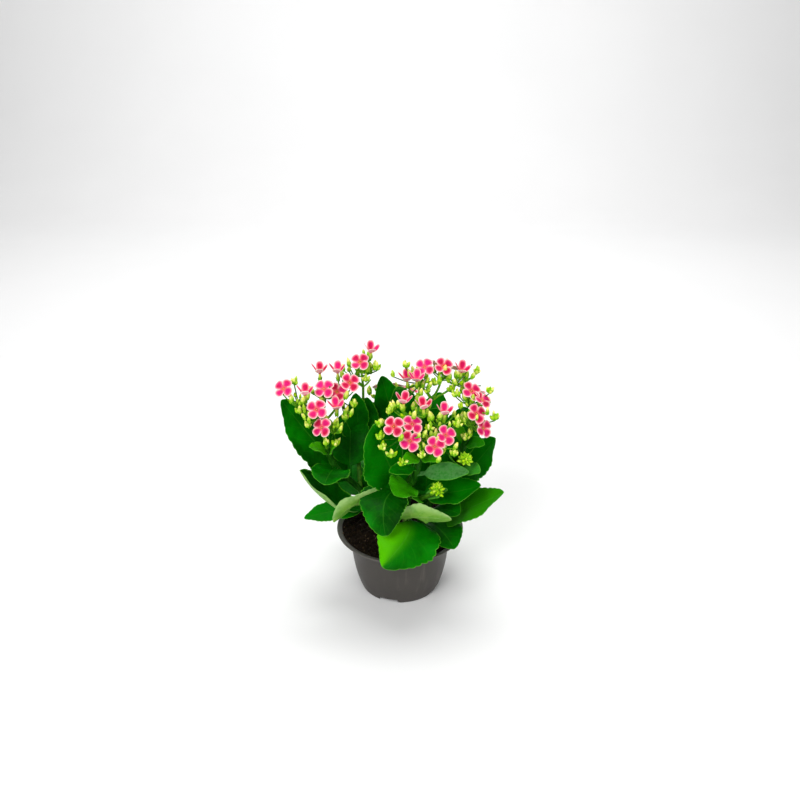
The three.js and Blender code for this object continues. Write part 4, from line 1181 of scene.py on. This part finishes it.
stageLook = {
    "floorColour": (0.86, 0.86, 0.86),
    "worldStrength": 0.20,
    "lights": [
        # name, place and aim in metres, size, watts
        ("softKey", (-0.60, -1.00, 1.00), (0, 0, 0.1), 0.7, 13.5),
        ("softFill", (0.70, -1.05, 0.60), (0, 0, 0.1), 0.9, 6.0),
        ("softTop", (0.10, 0.25, 1.35), (0, 0, 0.1), 0.8, 7.0),
        ("softBackdrop", (0.0, 0.9, 2.2), (0, 2.3, 0.9), 1.6, 42.0),
    ],
    "cameraPlace": (0.0, -0.586, 0.451),
    "cameraPitch": 24.4,
    "lens": 34.2,
}

allBlooms = []  # place, direction, and how far it is kept clear above
for spray in sprays.values():
    for end, count, blooms in spray["arms"]:
        for bloom in blooms:
            clear = 8.0 if bloom[5:] else 2.8
            allBlooms.append((np.array(bloom[:3], float), leaning(*bloom[3:5]), clear))


def isClear(base, top, buds=()):
    # a bud keeps off every flower's petals and off the other buds, and hides no flower from the front
    look, eye = sprayLook, 1000 * np.array(stageLook["cameraPlace"])
    for share in (0.0, 0.25, 0.5, 0.75, 1.0):
        place = base + share * (top - base)
        sight = unit(place - eye)
        for centre, normal, reach in allBlooms:
            height = (place - centre) @ normal
            wide = look["petalReach"] if height > look["petalBottom"] else look["tubeReach"]
            off = np.linalg.norm(place - centre - height * normal)
            if look["tubeBottom"] < height < reach and off < wide:
                return False
            nearer = (centre - eye) @ sight > np.linalg.norm(place - eye)
            if nearer and np.linalg.norm(np.cross(centre - eye, sight)) < look["hidingReach"]:
                return False
    return all(np.linalg.norm(base - bud[0]) > look["budReach"] for bud in buds if bud[3] < 2)


def stalkFoot(on):
    line = stemLines[on]
    rise = unit(line[-1] - line[-2])
    return line[-1] + 0.3 * rise, rise


def branch(points, count, girths, age):
    line = smoothLine(points, count)
    return line, np.linspace(*girths, len(line)), age


def dropped(place, fall):
    return place - np.array([0, 0, fall])


def drawn(sizes, number):
    return sizes[0] + sizes[1] * chance(number)


def bractPair(place, turn, size):
    return [(place, Quaternion(upAxis, turn + math.pi * b), size, 2, 0.1) for b in range(2)]


def setBlooms(end, blooms, seed, a, lines):
    places = []
    for b, (x, y, z, lean, turn, *half) in enumerate(blooms):
        direction, centre = leaning(lean, turn), np.array([x, y, z], float)
        spin = (0 if half else math.pi / 4) + 0.5 * (chance(seed + 31 * a + 7 * b) - 0.5)
        kind = half[0] if half else int(chance(seed + 5 * a + 3 * b) > 0.55)
        places.append((centre, turnTo(direction, spin), 1.0, kind, chance(seed + 13 * a + b)))
        tubeEnd = centre - bloomLook["tube"] * direction
        away = tubeEnd - end
        middle = end + 0.5 * away + 0.8 * direction * np.linalg.norm(away) * 0.12
        lines.append(branch([end, middle, tubeEnd + 0.3 * direction], 10, sprayLook["pedicel"], 0.05))
    return places


def forkBuds(end, count, seed, lines):
    # the buds of the fork itself, then smaller ones wherever no flower is in the way
    look, buds = sprayLook, []
    for b in range(count + look["moreBuds"]):
        n, more = seed + 11 * b, b >= count
        around = 360 * (b + 0.5 * chance(n + 1)) / count
        if more:
            around = look["goldenTurn"] * b + 40 * chance(n + 1)
        kind = look["smallBud"] if more else look["forkBud"]
        lean, reach, size, tone = (drawn(sizes, n + k) for sizes, k in zip(kind, (0, 2, 3, 4)))
        out, direction = leaning(lean, around), leaning(0.45 * lean, around)
        tip = end + reach * out
        if more and not isClear(tip, tip + budLook["young"] * size * direction):
            continue
        way = [end, dropped(end + 0.55 * reach * out, 0.5), tip + 0.2 * direction]
        lines.append(branch(way, 7, look["budStalk"], 0.05))
        buds.append((tip, turnTo(direction, 6 * chance(n + 5)), size, int(more), tone))
    return buds


def besideBuds(end, bloom, seed, lines, buds):
    # younger buds rise beside a flower, clear of its petals, each with two smaller ones at its foot
    look, found = sprayLook, 0
    for n in range(seed, seed + 401 * look["besideTries"], 401):
        around, lean = 360 * chance(n), 30 * chance(n + 1)
        direction = leaning(lean, around)
        top = np.array(bloom[:3], float) + (9 + 6 * chance(n + 2)) * leaning(90, around)
        top = top + np.array([0, 0, 6 * chance(n + 3) - 3])
        size = drawn(look["besideBud"], n + 4)
        base = top - budLook["tall"] * size * direction
        far = np.linalg.norm(base - end) > look["farthest"]
        if found == look["besideBuds"] or far or not isClear(base, top, buds):
            continue
        found += 1
        way = [end, dropped((end + base) / 2, 1.5), base + 0.2 * direction]
        lines.append(branch(way, 8, look["budStalk"], 0.05))
        kind, tone = int(chance(n + 6) > 0.6), 0.2 + 0.6 * chance(n + 7)
        buds.append((base, turnTo(direction, 6 * chance(n + 5)), size, kind, tone))
        for side in (0, 180):
            beside = unit(direction + 0.55 * leaning(90, around + 90 + side))
            foot = base - 0.8 * direction
            if isClear(foot, foot + 5 * beside):
                buds.append((foot, turnTo(beside, 6 * chance(n + 8)), 0.6 * size, 1, 0.35 * chance(n + side)))


def twigBuds(place, ends, seed, lines):
    # a twig of young buds between and around the flowers
    look, buds = sprayLook, []
    fork = dropped(np.array(place, float), 6.0)
    near = min(ends, key=lambda end: np.linalg.norm(end - fork))
    middle = (near + fork) / 2 + np.array([0, 4.0, -3.0])
    lines.append(branch([near, middle, fork], 10, look["twigStalk"], 0.8))
    for b in range(look["twigBuds"]):
        n = seed + 19 * b
        direction = leaning(6 + 44 * chance(n) * min(b, 1), look["goldenTurn"] * b + 60 * chance(n + 1))
        start = fork + 1.6 * direction
        size = drawn(look["twigBud"], n + 2) + (0.1 if b == 0 else 0)
        if isClear(start, start + 8 * size * direction):
            way = np.array([fork, (fork + start) / 2, start + 0.2 * direction])
            lines.append((way, [0.5, 0.5, 0.5], 0.0))
            buds.append((start, turnTo(direction, 6 * chance(n + 3)), size, int(b > 1), 0.75 * chance(n + 4)))
    return buds


def growSpray(node, spray, seed):
    look, name = sprayLook, shortName(node)
    foot, rise = stalkFoot(spray["on"])
    crown = np.array(spray["crown"], float)
    lines = [branch([foot, foot + 3 * rise, crown], 20, (look["stalk"], look["crownGirth"]), 0.2)]
    blooms, buds = [], []
    ends = [np.array(arm[0], float) for arm in spray["arms"]]
    for a, (end, arm) in enumerate(zip(ends, spray["arms"])):
        count, armBlooms = arm[1:]
        knee = dropped(crown + 0.55 * (end - crown), 1.5)
        lines.append(branch([crown, knee, end], 14, look["branch"], 0.15))
        blooms += setBlooms(end, armBlooms, seed, a, lines)
        buds += forkBuds(end, count, seed + 53 * a, lines)
        for b, bloom in enumerate(armBlooms):
            besideBuds(end, bloom, seed + 71 * a + 29 * b, lines, buds)
        buds += bractPair(dropped(end, 1.2), 2.2 * a + seed, 0.7)
    for t, place in enumerate(spray["twigs"]):
        buds += twigBuds(place, ends, seed + 907 * t, lines)
    buds += bractPair(dropped(crown, 1.5), 1.3 + seed, 1.15)
    stalks = growStems("stalks" + name, lines, stalkMaterial, 8)
    bloomPiece = setPieces("blooms" + name, blooms, bloomShapes, (petalMaterial, calyxMaterial))
    budPiece = setPieces("buds" + name, buds, budShapes, (budMaterial, calyxMaterial))
    finishPiece(bloomPiece, "flower", node)
    for piece in (stalks, budPiece):
        finishPiece(piece, "bud", node)


def stalkSkin():
    material, tree, shader, place = newSkin("sprayStalk", 0.5, 0.12)
    cloud = grain(tree, place, 380, 3)
    young, old = (patchy(tree, cloud, 0.35, 0.7, *sprayLook[age]) for age in ("young", "old"))
    coat(tree, shader, patchy(tree, reading(tree, "age"), 0.0, 0.9, young, old), cloud, 0.00015, 0.6)
    return material


petalMaterial, budMaterial, calyxMaterial, stalkMaterial = petalSkin(), budSkin(), calyxSkin(), stalkSkin()
bloomKinds = (("bloomFlat", 1.0, 1), ("bloomCupped", 0.94, 5), ("bloomHalf", 0.6, 9))
bloomShapes = [bloomPrototype(*kind) for kind in bloomKinds]
budShapes = [budPrototype("budTall", budLook["tall"], 0.10), budPrototype("budYoung", budLook["young"], 0.05)]
budShapes.append(bractPrototype("bract"))
for i, (node, spray) in enumerate(sprays.items()):
    growSpray(node, spray, 100 * (i + 1))
print("sprays ready")


# Young heads, still in green bud

headLook = {"buds": 30, "bud": (0.5, 0.2), "stalk": (1.4, 1.2), "budStalk": 0.6}
heads = {
    "head_front": {"on": ("shoot_front", "side"), "radius": 3.6, "rise": 1.6},
    "head_right": {"on": ("shoot_right", "side"), "radius": 4.4, "rise": 1.0},
}


def growHead(node, place, seed):
    name, head = shortName(node), {**headLook, **place}
    foot, rise = stalkFoot(head["on"])
    radius, count, buds = head["radius"], head["buds"], []
    middle = foot + (5 + radius) * rise
    lines = [branch([foot, (foot + middle) / 2, middle], 10, head["stalk"], 0.1)]
    for b in range(count):
        n = seed + 17 * b
        around = sprayLook["goldenTurn"] * b + 20 * chance(n)
        direction = leaning(8 + 100 * (b + 0.5) / count, around)
        start = middle + 0.6 * radius * direction
        start[2] += (head["rise"] - 1) * radius * direction[2]
        way = np.array([middle, (middle + start) / 2, start + 0.3 * direction])
        lines.append((way, [head["budStalk"]] * 3, 0.0))
        size, tone = drawn(head["bud"], n + 1), 0.05 + 0.25 * chance(n + 3)
        buds.append((start, turnTo(direction, 6 * chance(n + 2)), size, 1, tone))
    for b in range(4):
        buds.append((middle - 3 * rise, Quaternion(upAxis, 1.57 * b + 0.4), 0.95, 2, 0.1))
    stalks = growStems("stalksHead" + name, lines, stalkMaterial, 8)
    cluster = setPieces("budsHead" + name, buds, budShapes, (budMaterial, calyxMaterial))
    for piece in (stalks, cluster):
        finishPiece(piece, "bud", node)


for i, (node, place) in enumerate(heads.items()):
    growHead(node, place, 1000 + 100 * i)
for shape in bloomShapes + budShapes:
    bpy.data.objects.remove(shape)
print("heads ready")


# Stage, light and camera


def makeStage():
    look, scene = stageLook, bpy.context.scene
    run = [(-3.0, 0.0), (1.6, 0.0)]
    run += [(1.6 + 0.8 * math.sin(a), 0.8 - 0.8 * math.cos(a)) for a in np.linspace(0.1, math.pi / 2, 12)]
    run += [(2.4, 3.5)]
    points = [(x * 1000, y * 1000, z * 1000) for y, z in run for x in (-4, 4)]
    faces = [(2 * k, 2 * k + 1, 2 * k + 3, 2 * k + 2) for k in range(len(run) - 1)]
    sweep = solidPiece("paleSweep", points, faces)
    material, tree, shader, place = newSkin("palePaper", 0.9, 0.1)
    colour = look["floorColour"]
    tint = patchy(tree, grain(tree, place, 3, 2), 0.3, 0.7, colour, [0.985 * c for c in colour])
    tree.links.new(tint, shader["Base Color"])
    sweep.data.materials.append(material)
    for name, place, aim, size, watts in look["lights"]:
        lamp = newPiece(name, bpy.data.lights.new(name, "AREA"))
        lamp.data.size, lamp.data.energy = size, watts
        lamp.location = place
        lamp.rotation_euler = (Vector(aim) - Vector(place)).to_track_quat("-Z", "Y").to_euler()
    world = scene.world = bpy.data.worlds.new("softSky")
    world.use_nodes = True
    sky = world.node_tree.nodes["Background"].inputs
    sky["Color"].default_value = (1, 1, 1, 1)
    sky["Strength"].default_value = look["worldStrength"]
    camera = scene.camera = newPiece("camera", bpy.data.cameras.new("camera"))
    camera.location = look["cameraPlace"]
    camera.rotation_euler = (math.radians(90 - look["cameraPitch"]), 0, 0)
    camera.data.lens = look["lens"]
    camera.data.sensor_width = 36.0
    scene.view_settings.view_transform = "Standard"


makeStage()
print("stage ready")
